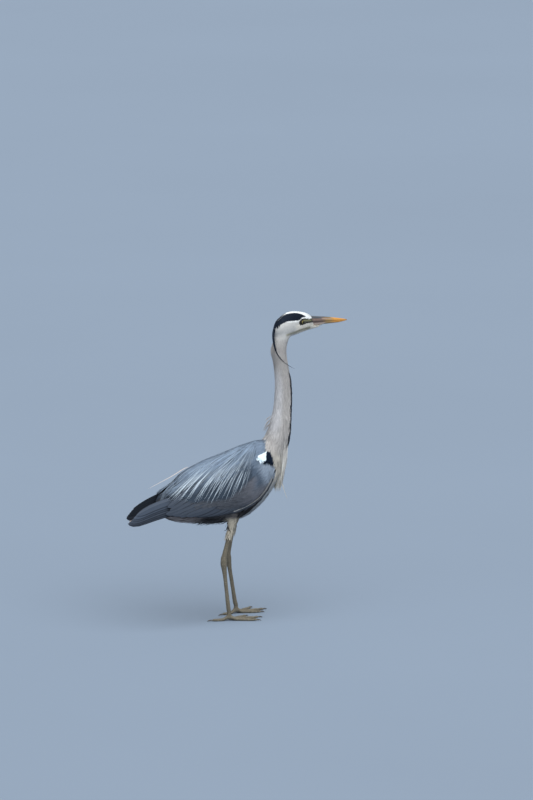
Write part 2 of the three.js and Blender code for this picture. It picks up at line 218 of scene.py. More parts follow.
# The ridge of the back, x and z, and how far below it the scapulars reach at each x.
RIDGE = ((-230, -173, -152, -128, -100, -50, 10, 60, 95, 122),
         (322, 356, 372, 394, 408, 427, 443, 457, 464, 464))
HEM = ((-185, -160, -136, -107, -85, -60, -17, 14, 34, 52), (16, 38, 56, 83, 88, 100, 113, 102, 91, 82))
FLANK_LINE = ((118.5, 434), (125, 404), (127, 393), (128, 374), (121, 361), (107, 338), (90, 316),
              (63, 299.5), (46, 290), (16, 288))
PALE_UNDERSIDE = (  # x, z: neck, breast and belly
    (60, 520), (112, 500), (122, 476), (117, 462), (110, 452), (106, 441), (105.5, 436), *FLANK_LINE,
    (-60, 277), (-190, 288), (-320, 288), (-320, 150), (300, 150), (300, 850), (60, 850),
)
FLANK_WEDGE = ((98, 318), (62, 283), (33, 262), (20, 252), (14, 262), (20, 288), (46, 292), (63, 301),
               (90, 318))
RIGHT_THIGH, LEFT_THIGH, HIP_OUT = ((24, 318), (-20, 160)), ((66, 318), (30, 160)), 35
WHITE_PATCH = ((105, 435), (96.5, 415), (85, 414.5), (79.5, 420.5), (75.5, 425.5), (83.5, 429),
               (92, 430.5), (99, 434.5))
BLACK_PATCH = ((105.5, 436), (116, 434), (119, 427.5), (120.5, 417), (122.5, 409), (125, 398.5),
               (115.5, 404), (102.5, 411.5), (91, 409), (87.5, 413), (96.5, 415), (105, 435))


def ease(value, low, high):
    share = np.clip((np.asarray(value, float) - low) / (high - low), 0, 1)
    return share * share * (3 - 2 * share)


def blend(first, second, share):
    first, second = np.asarray(first, float), np.asarray(second, float)
    return first + (second - first) * np.asarray(share)[..., None]


def layered(colour, *layers):
    """A colour with others laid over it in turn, each by its own share."""
    for tone, share in layers:
        colour = blend(colour, tone, share)
    return colour


def gap_to(u, v, line):
    """How far each point is from a line of straight stretches."""
    line = np.asarray(line, float)
    start, stretch = line[:-1], np.diff(line, axis=0)
    at = np.column_stack([u, v])[:, None]
    share = np.clip(((at - start) * stretch).sum(-1) / (stretch**2).sum(-1), 0, 1)
    return np.linalg.norm(at - start - share[..., None] * stretch, axis=-1).min(1)


def within(u, v, outline, soft):
    """1 inside an outline and 0 outside it, eased over its edge."""
    ring = np.asarray(outline + outline[:1], float)
    gap = gap_to(u, v, ring)
    crossings = np.zeros(len(u), int)
    for (u0, v0), (u1, v1) in zip(ring[:-1], ring[1:]):
        if v0 != v1:
            crossings += ((v0 > v) != (v1 > v)) & (u < u0 + (v - v0) / (v1 - v0) * (u1 - u0))
    return ease(np.where(crossings % 2 == 1, gap, -gap), -soft, soft)


def hem_share(x, z):
    """How far down from the ridge of the back to the scapulars' hem: 0 to 1."""
    return (np.interp(x, *RIDGE) - z) / np.interp(x, *HEM)


def plumage(points):
    """The colour of skin and feathers at each point of the bird."""
    x, y, z = points.T
    out = np.abs(y)
    ahead, _, up = on_head(points).T
    share = hem_share(x, z)
    above = layered(
        RUMP, (MANTLE, ease(x, -150, -90)),
        (SHOULDER, ease(z, 445, 405) * ease(x, 30, 80)),
        (CARPAL, ease(x - 0.45 * (400 - z), 62, 92) * ease(z, 418, 400)),
        (blend(WING_FOOT_BROWN, WING_BROWN, ease(x, 10, 75)),
         np.maximum(ease(z - 0.25 * (x - 90), 372, 335), ease(share, 0.85, 1.0) * ease(x, 80, 52))),
        (SCAPULAR_SLATE, 0.85 * ease(share, 0.25, 0.6) * ease(share, 1.05, 0.9) * ease(x, 66, 48)))
    nape_line = np.interp(z, (392, 438, 470, 507, 545, 596, 640), (130, 144, 160, 168, 174, 177, 173))
    flank_half = np.interp(z, (296, 318, 435), (4.0, 3.2, 2.5))
    dark = np.maximum(ease(flank_half - gap_to(x, z, FLANK_LINE), -1, 1), within(x, z, FLANK_WEDGE, 1.5))
    below = layered(
        NECK_GREY, (NECK_FRONT, ease(x, 165, 190) * ease(z, 600, 500)),
        (NECK_NAPE, ease(nape_line - x, 4, 20) * ease(z, 455, 510) * ease(z, 660, 620)),
        (BREAST_WHITE, ease(z, 450, 410)),
        # Painted shade: the white lower belly greyed, as it lies in shade under the body.
        (BELLY_SHADE_GREY, ease(z, 372, 345)),
        # Painted shadow: the belly behind and between the legs darkened nearly to black.
        (BELLY_DEEP_SHADE, ease(x, 42, 24) * ease(z, 330, 300)),
        (UNDERTAIL, ease(x, -60, -110) * ease(z, 330, 300)),
        (FLANK_BLACK, dark * ease(out, 13, 17) * ease(z, 440, 434)))
    thigh = np.minimum(*[np.hypot(gap_to(x, z, line), y - side * HIP_OUT)
                         for side, line in ((-1, RIGHT_THIGH), (1, LEFT_THIGH))])
    side_on = ease(out, 22, 28)
    head = layered(
        CHEEK, (CHIN, ease(ahead, -6, 14) * ease(up, 0, -8)),
        # Painted shade: a dark olive band along the fold of the throat under the jaw.
        (THROAT_FOLD_SHADE, 0.95 * ease(gap_to(ahead, up, THROAT_SHADE_LINE), 6.0, 0.0)),
        (CROWN_WHITE, ease(up, 0, 7)),
        (CROWN_WHITE, ease(ahead, 14, 26) * ease(up, -2, 2)))
    return layered(
        above, (below, within(x, z, PALE_UNDERSIDE, 1.2)),
        (THIGH_WHITE, ease(thigh, 25, 19) * ease(z, 276, 264)),
        (SHOULDER_WHITE, within(x, z, WHITE_PATCH, 0.8) * side_on),
        (STRIPE_BLACK, within(x, z, BLACK_PATCH, 0.8) * side_on),
        (head, ease(ahead, -90, -70) * ease(z, 694, 742)),
        (STRIPE_BLACK, within(ahead, up, CROWN_STRIPE, 0.6)))


# ---- Skin: one closed skin over head, neck, trunk, wings, thighs and feet, lying inside the
# solids by the depth of the coat. Lids, lores and the line of the mouth are raised and sunk in it,
# and the bare legs and toes show it. ----
FLESH = {
    "trunk": ["trunk"],
    "wing": ["wing_right", "wing_left"],
    "neck": ["neck_lower", "neck_middle", "neck_upper"],
    "head": ["head", "eye_right", "eye_left"],
    "thigh": ["thigh_right", "thigh_left"],
    "leg": ["shank_right", "shank_left", "foot_right", "foot_left"],
}
COAT_DEPTH = {"trunk": 4.2, "wing": 3.6, "neck": 2.6, "head": 1.4, "thigh": 3.5, "leg": 0.0}
PARTS = list(FLESH)
NODE_OVERLAP, LEG_OVERLAP, VOXEL, TOE_CLEARANCE = 0.3, 0.75, 2.12, 0.2
# Round the ankle and at the toes' ends: how far up or out, and how thick.
ANKLE_KNOTS = ((14, 5.2), (10, 5.4), (6, 5.7), (2, 6.0), (-2, 6.2), (-5, 6.0))
TOE_END_KNOTS = ((-5, 3.6), (-3, 3.5), (-1, 3.4), (1, 3.1), (2.5, 2.7))


def merged(name):
    """A node's corners joined where they meet, and its triangles."""
    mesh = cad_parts[name].data
    mesh.calc_loop_triangles()
    corners = corners_of(name)
    _, first, place = np.unique(np.round(corners, 3), axis=0, return_index=True, return_inverse=True)
    triangles = place.reshape(-1)[read(mesh.loop_triangles, "vertices", 3, int)]
    flat = (triangles == np.roll(triangles, 1, 1)).any(1)
    return corners[first], triangles[~flat]


def normals_of(points, faces):
    """Unit normals at the points of a mesh of triangles or quads."""
    diagonal = points[faces[:, 2]] - points[faces[:, 0]]
    other = points[faces[:, -1]] - points[faces[:, 1]]
    if faces.shape[1] == 3:
        diagonal, other = points[faces[:, 1]] - points[faces[:, 0]], diagonal
    face_normal = np.cross(diagonal, other)
    total = np.zeros_like(points)
    for column in faces.T:
        for axis in range(3):
            total[:, axis] += np.bincount(column, face_normal[:, axis], len(points))
    return unit(total)


def mesh_from(name, points, faces):
    """A Blender mesh in the frame from points in the bird's millimetres."""
    mesh = bpy.data.meshes.new(name)
    mesh.vertices.add(len(points))
    mesh.vertices.foreach_set("co", in_frame(points).ravel())
    size = faces.shape[1]
    mesh.loops.add(faces.size)
    mesh.loops.foreach_set("vertex_index", faces.ravel())
    mesh.polygons.add(len(faces))
    mesh.polygons.foreach_set("loop_start", np.arange(0, faces.size, size))
    mesh.update(calc_edges=True)
    mesh.validate()
    return mesh


def evaluated(piece):
    """The mesh of an object with its modifiers applied."""
    return bpy.data.meshes.new_from_object(piece.evaluated_get(bpy.context.evaluated_depsgraph_get()))


def placed(name, mesh):
    piece = bpy.data.objects.new(name, mesh)
    bpy.context.scene.collection.objects.link(piece)
    return piece


def edges_of(faces):
    """Each edge once, as a pair of points."""
    pairs = np.concatenate([np.column_stack([column, before])
                            for column, before in zip(faces.T, np.roll(faces, 1, 1).T)])
    return np.unique(np.sort(pairs, axis=1), axis=0)


def relaxed(values, edges, strength, rounds):
    """Values eased towards the mean of their neighbours."""
    values = np.array(values, float)
    if values.ndim == 1:
        return relaxed(values[:, None], edges, strength, rounds)[:, 0]
    count = len(values)
    a, b = edges.T
    near = np.bincount(a, minlength=count) + np.bincount(b, minlength=count)
    for _ in range(rounds):
        for axis in range(values.shape[1]):
            column = values[:, axis]
            mean = (np.bincount(a, column[b], count) + np.bincount(b, column[a], count)) / near
            values[:, axis] = column + strength * (mean - column)
    return values


cad_points, cad_faces, cad_part = [], [], []
swollen_points, start = [], 0
for part, names in FLESH.items():
    for name in names:
        corners, triangles = merged(name)
        cad_points.append(corners)
        swell = LEG_OVERLAP if part == "leg" else NODE_OVERLAP
        swollen_points.append(corners + swell * normals_of(corners, triangles))
        cad_faces.append(triangles + start)
        cad_part += [PARTS.index(part)] * len(triangles)
        start += len(corners)
globe = bmesh.new()
bmesh.ops.create_icosphere(globe, subdivisions=2, radius=1.0)
globe.verts.index_update()
globe_points = np.array([tuple(vert.co) for vert in globe.verts])
globe_faces = np.array([[vert.index for vert in face.verts] for face in globe.faces])
globe.free()
for side_name in ("right", "left"):
    shank = corners_of("shank_" + side_name)
    ankle = shank[shank[:, 2] < shank[:, 2].min() + 4].mean(0)
    knots = [(ankle + (0, 0, rise), radius) for rise, radius in ANKLE_KNOTS]
    for toe in ("middle", "inner", "outer", "hind"):
        horn = corners_of(f"claw_{toe}_{side_name}")
        root = horn[np.linalg.norm(horn - ankle, axis=1).argmin()]
        outward = unit((root - ankle) * (1, 1, 0))
        knots += [((*(root + outward * ahead)[:2], radius + TOE_CLEARANCE), radius)
                  for ahead, radius in TOE_END_KNOTS]
    for middle, radius in knots:
        cad_points.append(np.array(middle) + radius * globe_points)
        swollen_points.append(cad_points[-1])
        cad_faces.append(globe_faces + start)
        cad_part += [PARTS.index("leg")] * len(globe_faces)
        start += len(globe_points)
cad_points, cad_faces = np.concatenate(cad_points), np.concatenate(cad_faces)
cad_part = np.array(cad_part)
cad_tree = BVHTree.FromPolygons(cad_points.tolist(), cad_faces.tolist())

rough = placed("rough_skin", mesh_from("rough_skin", np.concatenate(swollen_points), cad_faces))
remesh = rough.modifiers.new("remesh", "REMESH")
remesh.mode = "VOXEL"
remesh.voxel_size = VOXEL * MM
hide_mesh = evaluated(rough)
hide = bird(read(hide_mesh.vertices, "co", 3))
hide_faces = read(hide_mesh.loops, "vertex_index", 1, int).reshape(-1, 4)
bpy.data.objects.remove(rough)


def largest_shell(count, edges):
    """True for the points of the largest connected shell."""
    label = np.arange(count)
    a, b = edges.T
    while True:
        low = label.copy()
        np.minimum.at(low, a, label[b])
        np.minimum.at(low, b, label[a])
        low = low[low]
        if (low == label).all():
            return label == np.bincount(label).argmax()
        label = low


kept = largest_shell(len(hide), edges_of(hide_faces))
renumber = np.cumsum(kept) - 1
hide_faces = renumber[hide_faces[kept[hide_faces].all(1)]]
hide = hide[kept]
hide_edges = edges_of(hide_faces)
hide_part = np.array([cad_part[cad_tree.find_nearest(p)[2]] for p in hide.tolist()])


def is_part(*names):
    return np.isin(hide_part, [PARTS.index(name) for name in names])


# How far each round of smoothing moves the skin: a little at the bill's root, and not on the legs.
softness = np.where(on_head(hide)[:, 0] > 50, 0.08, np.where(is_part("head"), 0.35, 0.6))
softness = relaxed(np.where(is_part("leg"), 0.0, softness), hide_edges, 0.5, 4)
hide = relaxed(hide, hide_edges, softness, 22)
hide = relaxed(hide, hide_edges, np.where(is_part("leg"), 0.5, 0.0), 4)
depth = np.array([COAT_DEPTH[part] for part in PARTS])[hide_part]
depth = np.where(is_part("head"), depth * ease(on_head(hide)[:, 0], 62, 30), depth)
depth = relaxed(depth, hide_edges, 0.6, 14)
depth = np.where(is_part("leg"), 0, depth)
hide = hide - depth[:, None] * normals_of(hide, hide_faces)
hide = relaxed(hide, hide_edges, np.where(is_part("leg"), 0.0, 0.5), 5)
hide[:, 2] = np.maximum(hide[:, 2], 0.0)

skin_mesh = mesh_from("skin", hide, hide_faces)
skin = placed("skin", skin_mesh)

# Fine detail round the eyes and along the lores: the skin there is divided finer, then shaped.
EYE_RADIUS, APERTURE, LID_RISE, FINE_CUTS = 7.5, 4.8, 0.7, 3


def face_region(points, margin):
    ahead, across, up = on_head(points).T
    return ((ahead > 4 - margin) & (ahead < 62 + margin) & (up > -13 - margin) & (up < 15 + margin)
            & (np.abs(across) > 6))


grid = bmesh.new()
grid.from_mesh(skin_mesh)
grid.verts.ensure_lookup_table()
middles = np.array([face.calc_center_median()[:] for face in grid.faces])
fine = face_region(bird(middles), 0)
cut_edges = list({edge for face, wanted in zip(grid.faces, fine) if wanted for edge in face.edges})
bmesh.ops.subdivide_edges(grid, edges=cut_edges, cuts=FINE_CUTS, use_grid_fill=True, smooth=0.0)
bmesh.ops.triangulate(grid, faces=[face for face in grid.faces if len(face.verts) > 4])
grid.to_mesh(skin_mesh)
grid.free()

fine_points = bird(read(skin_mesh.vertices, "co", 3))
fine_edges = read(skin_mesh.edges, "vertices", 2, int)
in_face = face_region(fine_points, 1.5)
fine_points = relaxed(fine_points, fine_edges, np.where(in_face, 0.5, 0.0), 12)

for side in (-1, 1):
    ahead, across, up = on_head(fine_points).T
    out = side * across
    # The skin round the eye is fitted with one smooth patch, which the lids and the furrow replace.
    a, b = ahead - EYE_AHEAD, up - EYE_UP
    lid_shape = 1 + 0.10 * np.cos(np.arctan2(b, a)) ** 2 * np.sign(a)
    radius = np.hypot(a, b * 1.06) / lid_shape
    near = in_face & (out > 6) & (radius < 15)
    ring = near & (radius > 10.5)
    terms = np.column_stack([np.ones_like(a), a, b, a * a, a * b, b * b])
    fit, *_ = np.linalg.lstsq(terms[ring], out[ring], rcond=None)
    surface = terms @ fit
    eye_out = side * (eye_middle["left" if side > 0 else "right"] - HEAD_MIDDLE) @ head_left
    inner = eye_out + np.sqrt(np.maximum(EYE_RADIUS**2 - radius**2, 0)) - 1.0
    crest = eye_out + math.sqrt(EYE_RADIUS**2 - APERTURE**2) + LID_RISE
    lid = crest - 0.25 * (radius - APERTURE - 0.6) ** 2
    rim = ease(radius, APERTURE - 0.15, APERTURE + 0.45)
    shaped = inner + (lid - inner) * rim
    furrow = -0.35 * np.exp(-((radius - 7.6) / 0.5) ** 2)
    outer = ease(radius, 6.2, 9.5)
    shaped = shaped + (surface - shaped) * outer + furrow
    shaped = np.where(near, shaped + (out - shaped) * ease(radius, 10.0, 14.0), out)
    gape = gap_to(ahead, up, GAPE_LINE)
    lore = within(ahead, up, BARE_LORE, 1.5) * (radius > 8)
    fold = 0.22 * np.sin(up * 2.1 + 0.12 * ahead) + 0.12 * np.sin(up * 4.7 - 0.3 * ahead)
    sunk = 1.1 * np.exp(-((gape / 0.75) ** 2)) * ease(radius, 7.5, 9.0)
    hollow = 0.9 * np.exp(-(((up - 4.5) / 3.0) ** 2)) * ease(ahead, 28, 34) * ease(ahead, 56, 46)
    change = np.where(in_face & (out > 6), fold * lore - sunk - hollow, 0.0)
    fine_points = fine_points + ((shaped - out + change) * side)[:, None] * head_left

skin_mesh.vertices.foreach_set("co", in_frame(fine_points).ravel())
skin_mesh.update()
skin_tree = BVHTree.FromPolygons(hide.tolist(), hide_faces.tolist())
hide_normals = normals_of(hide, hide_faces)
smooth_normals = unit(relaxed(hide_normals, hide_edges, 0.6, 12))
skin_surface = (skin_tree, unit(smooth_normals[hide_faces].mean(1)))


def skin_colour(points):
    """Plumage colours, with bare lores, lids and legs, and painted shade in the crease of the gape and
    under the brow.
    """
    ahead, _, up = on_head(points).T
    z = points[:, 2]
    face = (z > 700) & (ahead > 0)
    line = np.minimum(gap_to(ahead, up, GAPE_LINE), gap_to(ahead, up, BROW_SHADE_LINE))
    return layered(
        plumage(points), (LORE, within(ahead, up, BARE_LORE, 1.0) * (z > 700)),
        (LID_DARK_AND_CREASE_SHADE, ease(np.hypot(ahead - EYE_AHEAD, up - EYE_UP), 7.6, 6.6) * face),
        (LORE_OLIVE, ease(gap_to(ahead, up, LORE_STREAK), 2.6, 1.2) * face),
        # Painted shade: dark lines in the crease of the gape and under the brow along the lore.
        (LID_DARK_AND_CREASE_SHADE, ease(line, 1.9, 0.8) * face),
        (LEG_BROWN, ease(z, 232, 226)))


def paint(mesh, name, colours):
    layer = mesh.color_attributes.new(name, "FLOAT_COLOR", "POINT")
    layer.data.foreach_set("color", np.column_stack([colours, np.ones(len(colours))]).ravel())


def shade_round(mesh, finish):
    """Smooth shading over the whole of a mesh, and its material."""
    mesh.polygons.foreach_set("use_smooth", np.ones(len(mesh.polygons), bool))
    mesh.materials.append(finish)


paint(skin_mesh, "marking", skin_colour(fine_points))
skin_finish, tree, shader = material_for("heron_skin")
marking = add_node(tree, "ShaderNodeAttribute", attribute_name="marking")
place = add_node(tree, "ShaderNodeTexCoord")
pores = add_node(tree, "ShaderNodeTexNoise", Scale=900.0, Detail=4.0)
cracks = add_node(tree, "ShaderNodeTexVoronoi", feature="DISTANCE_TO_EDGE", Scale=420.0)
join(tree, place, "Object", pores, "Vector")
join(tree, place, "Object", cracks, "Vector")
shade = add_node(tree, "ShaderNodeMix", data_type="RGBA", blend_type="MULTIPLY", Factor=0.35)
join(tree, marking, "Color", shade, 6)
join(tree, pores, "Color", shade, 7)
join(tree, shade, 2, shader, "Base Color")
bump = add_node(tree, "ShaderNodeBump", Strength=0.4, Distance=0.0004)
join(tree, cracks, "Distance", bump, "Height")
join(tree, bump, "Normal", shader, "Normal")
dial(shader, Roughness=0.55, Specular_IOR_Level=0.25)
shade_round(skin_mesh, skin_finish)
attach(skin, "root")
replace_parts(skin, *[name for part in PARTS for name in FLESH[part] if not name.startswith("eye")])


# ---- Eyes: clear wet balls with a yellow iris round a black pupil, set deep under the lids and
# looking out to each side and a little ahead. ----
CORNEA_RISE, EYE_RINGS, EYE_SPOKES = 0.35, 44, 60
# The iris is a yellow one painted dull and dark: painted shade under the lids and brow.
IRIS_BANDS = (  # share of the way out from the pupil's middle, and the tone there
    (0.27, (0.004, 0.004, 0.005)), (0.30, (0.14, 0.10, 0.03)), (0.36, (0.30, 0.23, 0.05)),
    (0.44, (0.27, 0.215, 0.06)), (0.50, (0.07, 0.06, 0.03)), (0.54, (0.015, 0.014, 0.012)),
)
eye_finish, tree, shader = material_for("eye_glass")
gaze = add_node(tree, "ShaderNodeAttribute", attribute_name="gaze")
streaks = add_node(tree, "ShaderNodeTexNoise", Scale=1.6, Detail=4.0)
from_axis = add_node(tree, "ShaderNodeSeparateXYZ")
bands = tone_ramp(tree, (0.004, 0.004, 0.005), (0.03, 0.025, 0.015))
for place, tone in IRIS_BANDS:
    band = bands.color_ramp.elements.new(place)
    band.color = (*tone, 1)
warped = add_node(tree, "ShaderNodeMath", operation="MULTIPLY_ADD")
warped.inputs[1].default_value = 0.10
outward = add_node(tree, "ShaderNodeMath", operation="MULTIPLY_ADD")
outward.inputs[1].default_value = 0.12
outward.inputs[2].default_value = -0.05
join(tree, gaze, "Vector", streaks, "Vector")
join(tree, gaze, "Vector", from_axis, 0)
join(tree, streaks, "Fac", warped, 0)
join(tree, from_axis, 2, outward, 0)
join(tree, outward, 0, warped, 2)
join(tree, warped, 0, bands, "Fac")
join(tree, bands, "Color", shader, "Base Color")
dial(shader, Roughness=0.25, Specular_IOR_Level=0.1, Coat_IOR=1.3, Coat_Weight=0.8, Coat_Roughness=0.03)


def smooth_piece(name, points, faces, finish):
    """A smooth-shaded closed mesh of any faces as a piece of its own."""
    mesh = bpy.data.meshes.new(name)
    mesh.from_pydata(in_frame(points).tolist(), [], faces)
    shade_round(mesh, finish)
    piece = placed(name, mesh)
    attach(piece, "root")
    return piece


def loft_faces(rings, sides):
    """Faces of a closed loft of rings, its two ends closed on a last two points."""
    first, last, top = rings * sides, rings * sides + 1, (rings - 1) * sides
    faces = []
    for start in range(0, top, sides):
        for k in range(sides):
            after = (k + 1) % sides
            faces.append((start + k, start + after, start + sides + after, start + sides + k))
    for k in range(sides):
        after = (k + 1) % sides
        faces += [(after, k, first), (top + k, top + after, last)]
    return faces


for side_name, side in (("right", -1), ("left", 1)):
    axis = unit(np.array([0.26, side, -0.03])) @ HEAD_AXES
    across_axis = unit(np.cross(axis, head_up))
    upright = np.cross(across_axis, axis)
    angle = np.linspace(0, math.pi, EYE_RINGS + 2)[1:-1, None]
    spoke = np.linspace(0, 2 * math.pi, EYE_SPOKES, endpoint=False)
    radius = EYE_RADIUS + CORNEA_RISE * np.exp(-((angle / 0.55) ** 2))
    directions = (np.cos(angle)[..., None] * axis + np.sin(angle)[..., None] * (
        np.cos(spoke)[:, None] * across_axis + np.sin(spoke)[:, None] * upright))
    ball = eye_middle[side_name] + (radius[..., None] * directions).reshape(-1, 3)
    poles = eye_middle[side_name] + np.array([EYE_RADIUS + CORNEA_RISE, -EYE_RADIUS])[:, None] * axis
    faces = [face[::-1] for face in loft_faces(EYE_RINGS, EYE_SPOKES)]
    eye = smooth_piece("eyeball_" + side_name, np.concatenate([ball, poles]), faces, eye_finish)
    gaze_values = np.stack(np.broadcast_arrays(np.cos(spoke) * 3, np.sin(spoke) * 3,
                                               angle * EYE_RADIUS), -1).reshape(-1, 3)
    gaze_values = np.concatenate([gaze_values, [(0, 0, 0), (0, 0, math.pi * EYE_RADIUS)]])
    layer = eye.data.attributes.new("gaze", "FLOAT_VECTOR", "POINT")
    layer.data.foreach_set("vector", gaze_values.ravel())
    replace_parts(eye, "eye_" + side_name)

# ---- Bill: two horn blades that close on a straight sharp edge, the upper with a rounded ridge
# and a long groove for the slit nostril; dusky and grey at the base, orange towards the tip. ----
BILL_COLUMNS = np.array([  # ahead: culmen, mouth, lower edge, half width
    (54, 15, -0.8, -14, 11), (64, 13.8, -0.7, -13, 9.6), (84, 12.2, -0.6, -10.8, 7.8),
    (104, 10.4, -0.7, -9, 6.4), (130, 7.5, -0.9, -7.9, 4.9), (152, 4.5, -1, -6.6, 3.3),
    (168, 2.1, -1, -4.3, 1.9), (177.5, 0.3, -1, -2.2, 0.9),
])
BILL_START, BILL_END = BILL_COLUMNS[0, 0], BILL_COLUMNS[-1, 0]
BILL_RINGS, ARC_POINTS, FLAT_POINTS, GROOVE_AT = 90, 30, 9, 0.62
ORANGE, OCHRE, DUSK = (0.60, 0.265, 0.045), (0.34, 0.21, 0.075), (0.155, 0.100, 0.082)
BLUE_HORN, PINK_HORN, HORN_DARK_AND_SHADE = (0.060, 0.068, 0.080), (0.30, 0.21, 0.165), (0.030, 0.026, 0.026)
PALE_HORN = (0.52, 0.40, 0.33)


def bill_column(ahead):
    return [np.interp(ahead, BILL_COLUMNS[:, 0], BILL_COLUMNS[:, k]) for k in range(1, 5)]


def upper_colour(ahead, rise):
    """Dusky base under a blue-grey ridge, then ochre, then orange to a dark-edged tip, with painted shadow
    along the culmen and painted shade along the mouth line.
    """
    return layered(
        DUSK, (OCHRE, ease(ahead, 92, 116)), (ORANGE, ease(ahead, 116, 142)),
        (BLUE_HORN, ease(rise, 0.45, 0.72) * ease(ahead, 104, 88)),
        (PINK_HORN, ease(rise, 0.40, 0.5) * ease(rise, 0.78, 0.66) * ease(ahead, 90, 98)
         * ease(ahead, 130, 118)),
        # Painted shadow: a dark stripe along the top of the culmen.
        (HORN_DARK_AND_SHADE, ease(rise, 0.80, 0.92) * ease(ahead, 92, 100) * ease(ahead, 130, 118)),
        # Painted shade: darker along the mouth line.
        (HORN_DARK_AND_SHADE, 0.75 * ease(rise, 0.16, 0.05) * ease(ahead, 140, 120)),
        (DUSK, 0.55 * ease(ahead, 168, 178)))


def lower_colour(ahead, rise):
    """The same with a pale lower edge to the base, and painted shade on the underside and along the mouth
    line.
    """
    return layered(
        DUSK, (OCHRE, ease(ahead, 92, 112)), (ORANGE, ease(ahead, 116, 142)),
        (PALE_HORN, ease(rise, 0.25, 0.5) * ease(ahead, 112, 98)),
        # Painted shade: the underside of the lower mandible darkened.
        (HORN_DARK_AND_SHADE, 0.8 * ease(rise, 0.6, 0.9) * ease(ahead, 90, 104) * ease(ahead, 162, 148)),
        # Painted shade: darker along the mouth line.
        (HORN_DARK_AND_SHADE, 0.5 * ease(rise, 0.2, 0.05) * ease(ahead, 125, 100)),
        (DUSK, 0.4 * ease(ahead, 168, 178)))


bill_finish, tree, shader = material_for("bill_keratin")
marking = add_node(tree, "ShaderNodeAttribute", attribute_name="marking")
grain_way = add_node(tree, "ShaderNodeUVMap", uv_map="Horn")
stretch = add_node(tree, "ShaderNodeMapping")
stretch.inputs["Scale"].default_value = (9.0, 42.0, 1.0)
fibres = add_node(tree, "ShaderNodeTexNoise", Scale=1.0, Detail=5.0, Roughness=0.7)
mottles = add_node(tree, "ShaderNodeTexNoise", Scale=22.0, Detail=3.0)
light = add_node(tree, "ShaderNodeMath", operation="MULTIPLY_ADD")
light.inputs[1].default_value = 0.55
light.inputs[2].default_value = 0.45
both = add_node(tree, "ShaderNodeMath", operation="ADD")
toned = add_node(tree, "ShaderNodeVectorMath", operation="SCALE")
join(tree, grain_way, "UV", stretch, "Vector")
join(tree, stretch, 0, fibres, "Vector")
join(tree, grain_way, "UV", mottles, "Vector")
join(tree, fibres, "Fac", both, 0)
join(tree, mottles, "Fac", both, 1)
join(tree, both, 0, light, 0)
join(tree, marking, "Color", toned, 0)
join(tree, light, 0, toned, "Scale")
join(tree, toned, 0, shader, "Base Color")
bump = add_node(tree, "ShaderNodeBump", Strength=0.35, Distance=0.0003)
join(tree, fibres, "Fac", bump, "Height")
join(tree, bump, "Normal", shader, "Normal")
dial(shader, Roughness=0.38, Coat_Weight=0.25, Coat_Roughness=0.25)


def mandible(name, upper):
    """One blade of the bill: rings of an arc outside and a nearly flat mouth side."""
    ahead = BILL_START + (BILL_END - BILL_START) * (np.linspace(0, 1, BILL_RINGS) ** 0.93)[:, None]
    culmen, mouth, under, half = bill_column(ahead)
    arc = np.linspace(0, math.pi, ARC_POINTS)
    rise_share = np.sin(arc) ** 0.9
    side_share = np.sign(np.cos(arc)) * np.abs(np.cos(arc)) ** 0.85
    back = np.linspace(-1, 1, FLAT_POINTS + 2)[1:-1]
    whole_ahead, whole_rise = np.broadcast_arrays(ahead, rise_share)
    if upper:
        groove, slit = (sum(np.exp(-(((place - GROOVE_AT) / width) ** 2)) for place in (arc, math.pi - arc))
                        for width in (0.13, 0.05))
        nostril = slit * ease(ahead, 66, 69) * ease(ahead, 85, 80)
        cut_in = 0.85 * groove * ease(ahead, 56, 62) * ease(ahead, 132, 84) + 1.1 * nostril
        y, z = half * side_share * (1 - cut_in / half), mouth + 0.1 + (culmen - mouth - 0.1) * rise_share
        y_flat, z_flat = half * back, mouth + 0.1 + 0.125 * half * (1 - back**2)
        colour = blend(upper_colour(whole_ahead, whole_rise), HORN_DARK_AND_SHADE, nostril)
        end = (BILL_TIP, 0, -0.85)
    else:
        inset = half * 0.94
        y, z = -inset * side_share, mouth - 0.15 + (under - mouth + 0.15) * rise_share
        y_flat, z_flat = -inset * back, mouth - 0.15 + 0 * back
        colour = lower_colour(whole_ahead, whole_rise)
        end = (BILL_TIP - 1.2, 0, -1.4)
    flat_colour = np.broadcast_to(np.array(HORN_DARK_AND_SHADE), (BILL_RINGS, FLAT_POINTS, 3))
    across, up = np.concatenate([y, y_flat], 1), np.concatenate([z, z_flat], 1)
    ring = np.stack([np.broadcast_to(ahead, across.shape), across, up], -1)
    points = np.concatenate([ring.reshape(-1, 3), [(BILL_START, 0, up[0].mean()), end]])
    colours = np.concatenate([np.concatenate([colour, flat_colour], 1).reshape(-1, 3), [HORN_DARK_AND_SHADE, ORANGE]])
    sides = ARC_POINTS + FLAT_POINTS
    piece = smooth_piece(name, from_head(points), loft_faces(BILL_RINGS, sides), bill_finish)
    paint(piece.data, "marking", colours)
    round_share = np.append(np.tile(np.arange(sides) / sides, BILL_RINGS), (0.3, 0.3))
    run = np.column_stack([(points[:, 0] - BILL_START) / (BILL_TIP - BILL_START), round_share])
    corner = read(piece.data.loops, "vertex_index", 1, int)
    piece.data.uv_layers.new(name="Horn").data.foreach_set("uv", run[corner].ravel())
    return piece


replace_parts(mandible("upper_mandible", True), "bill_upper")
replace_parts(mandible("lower_mandible", False), "bill_lower")

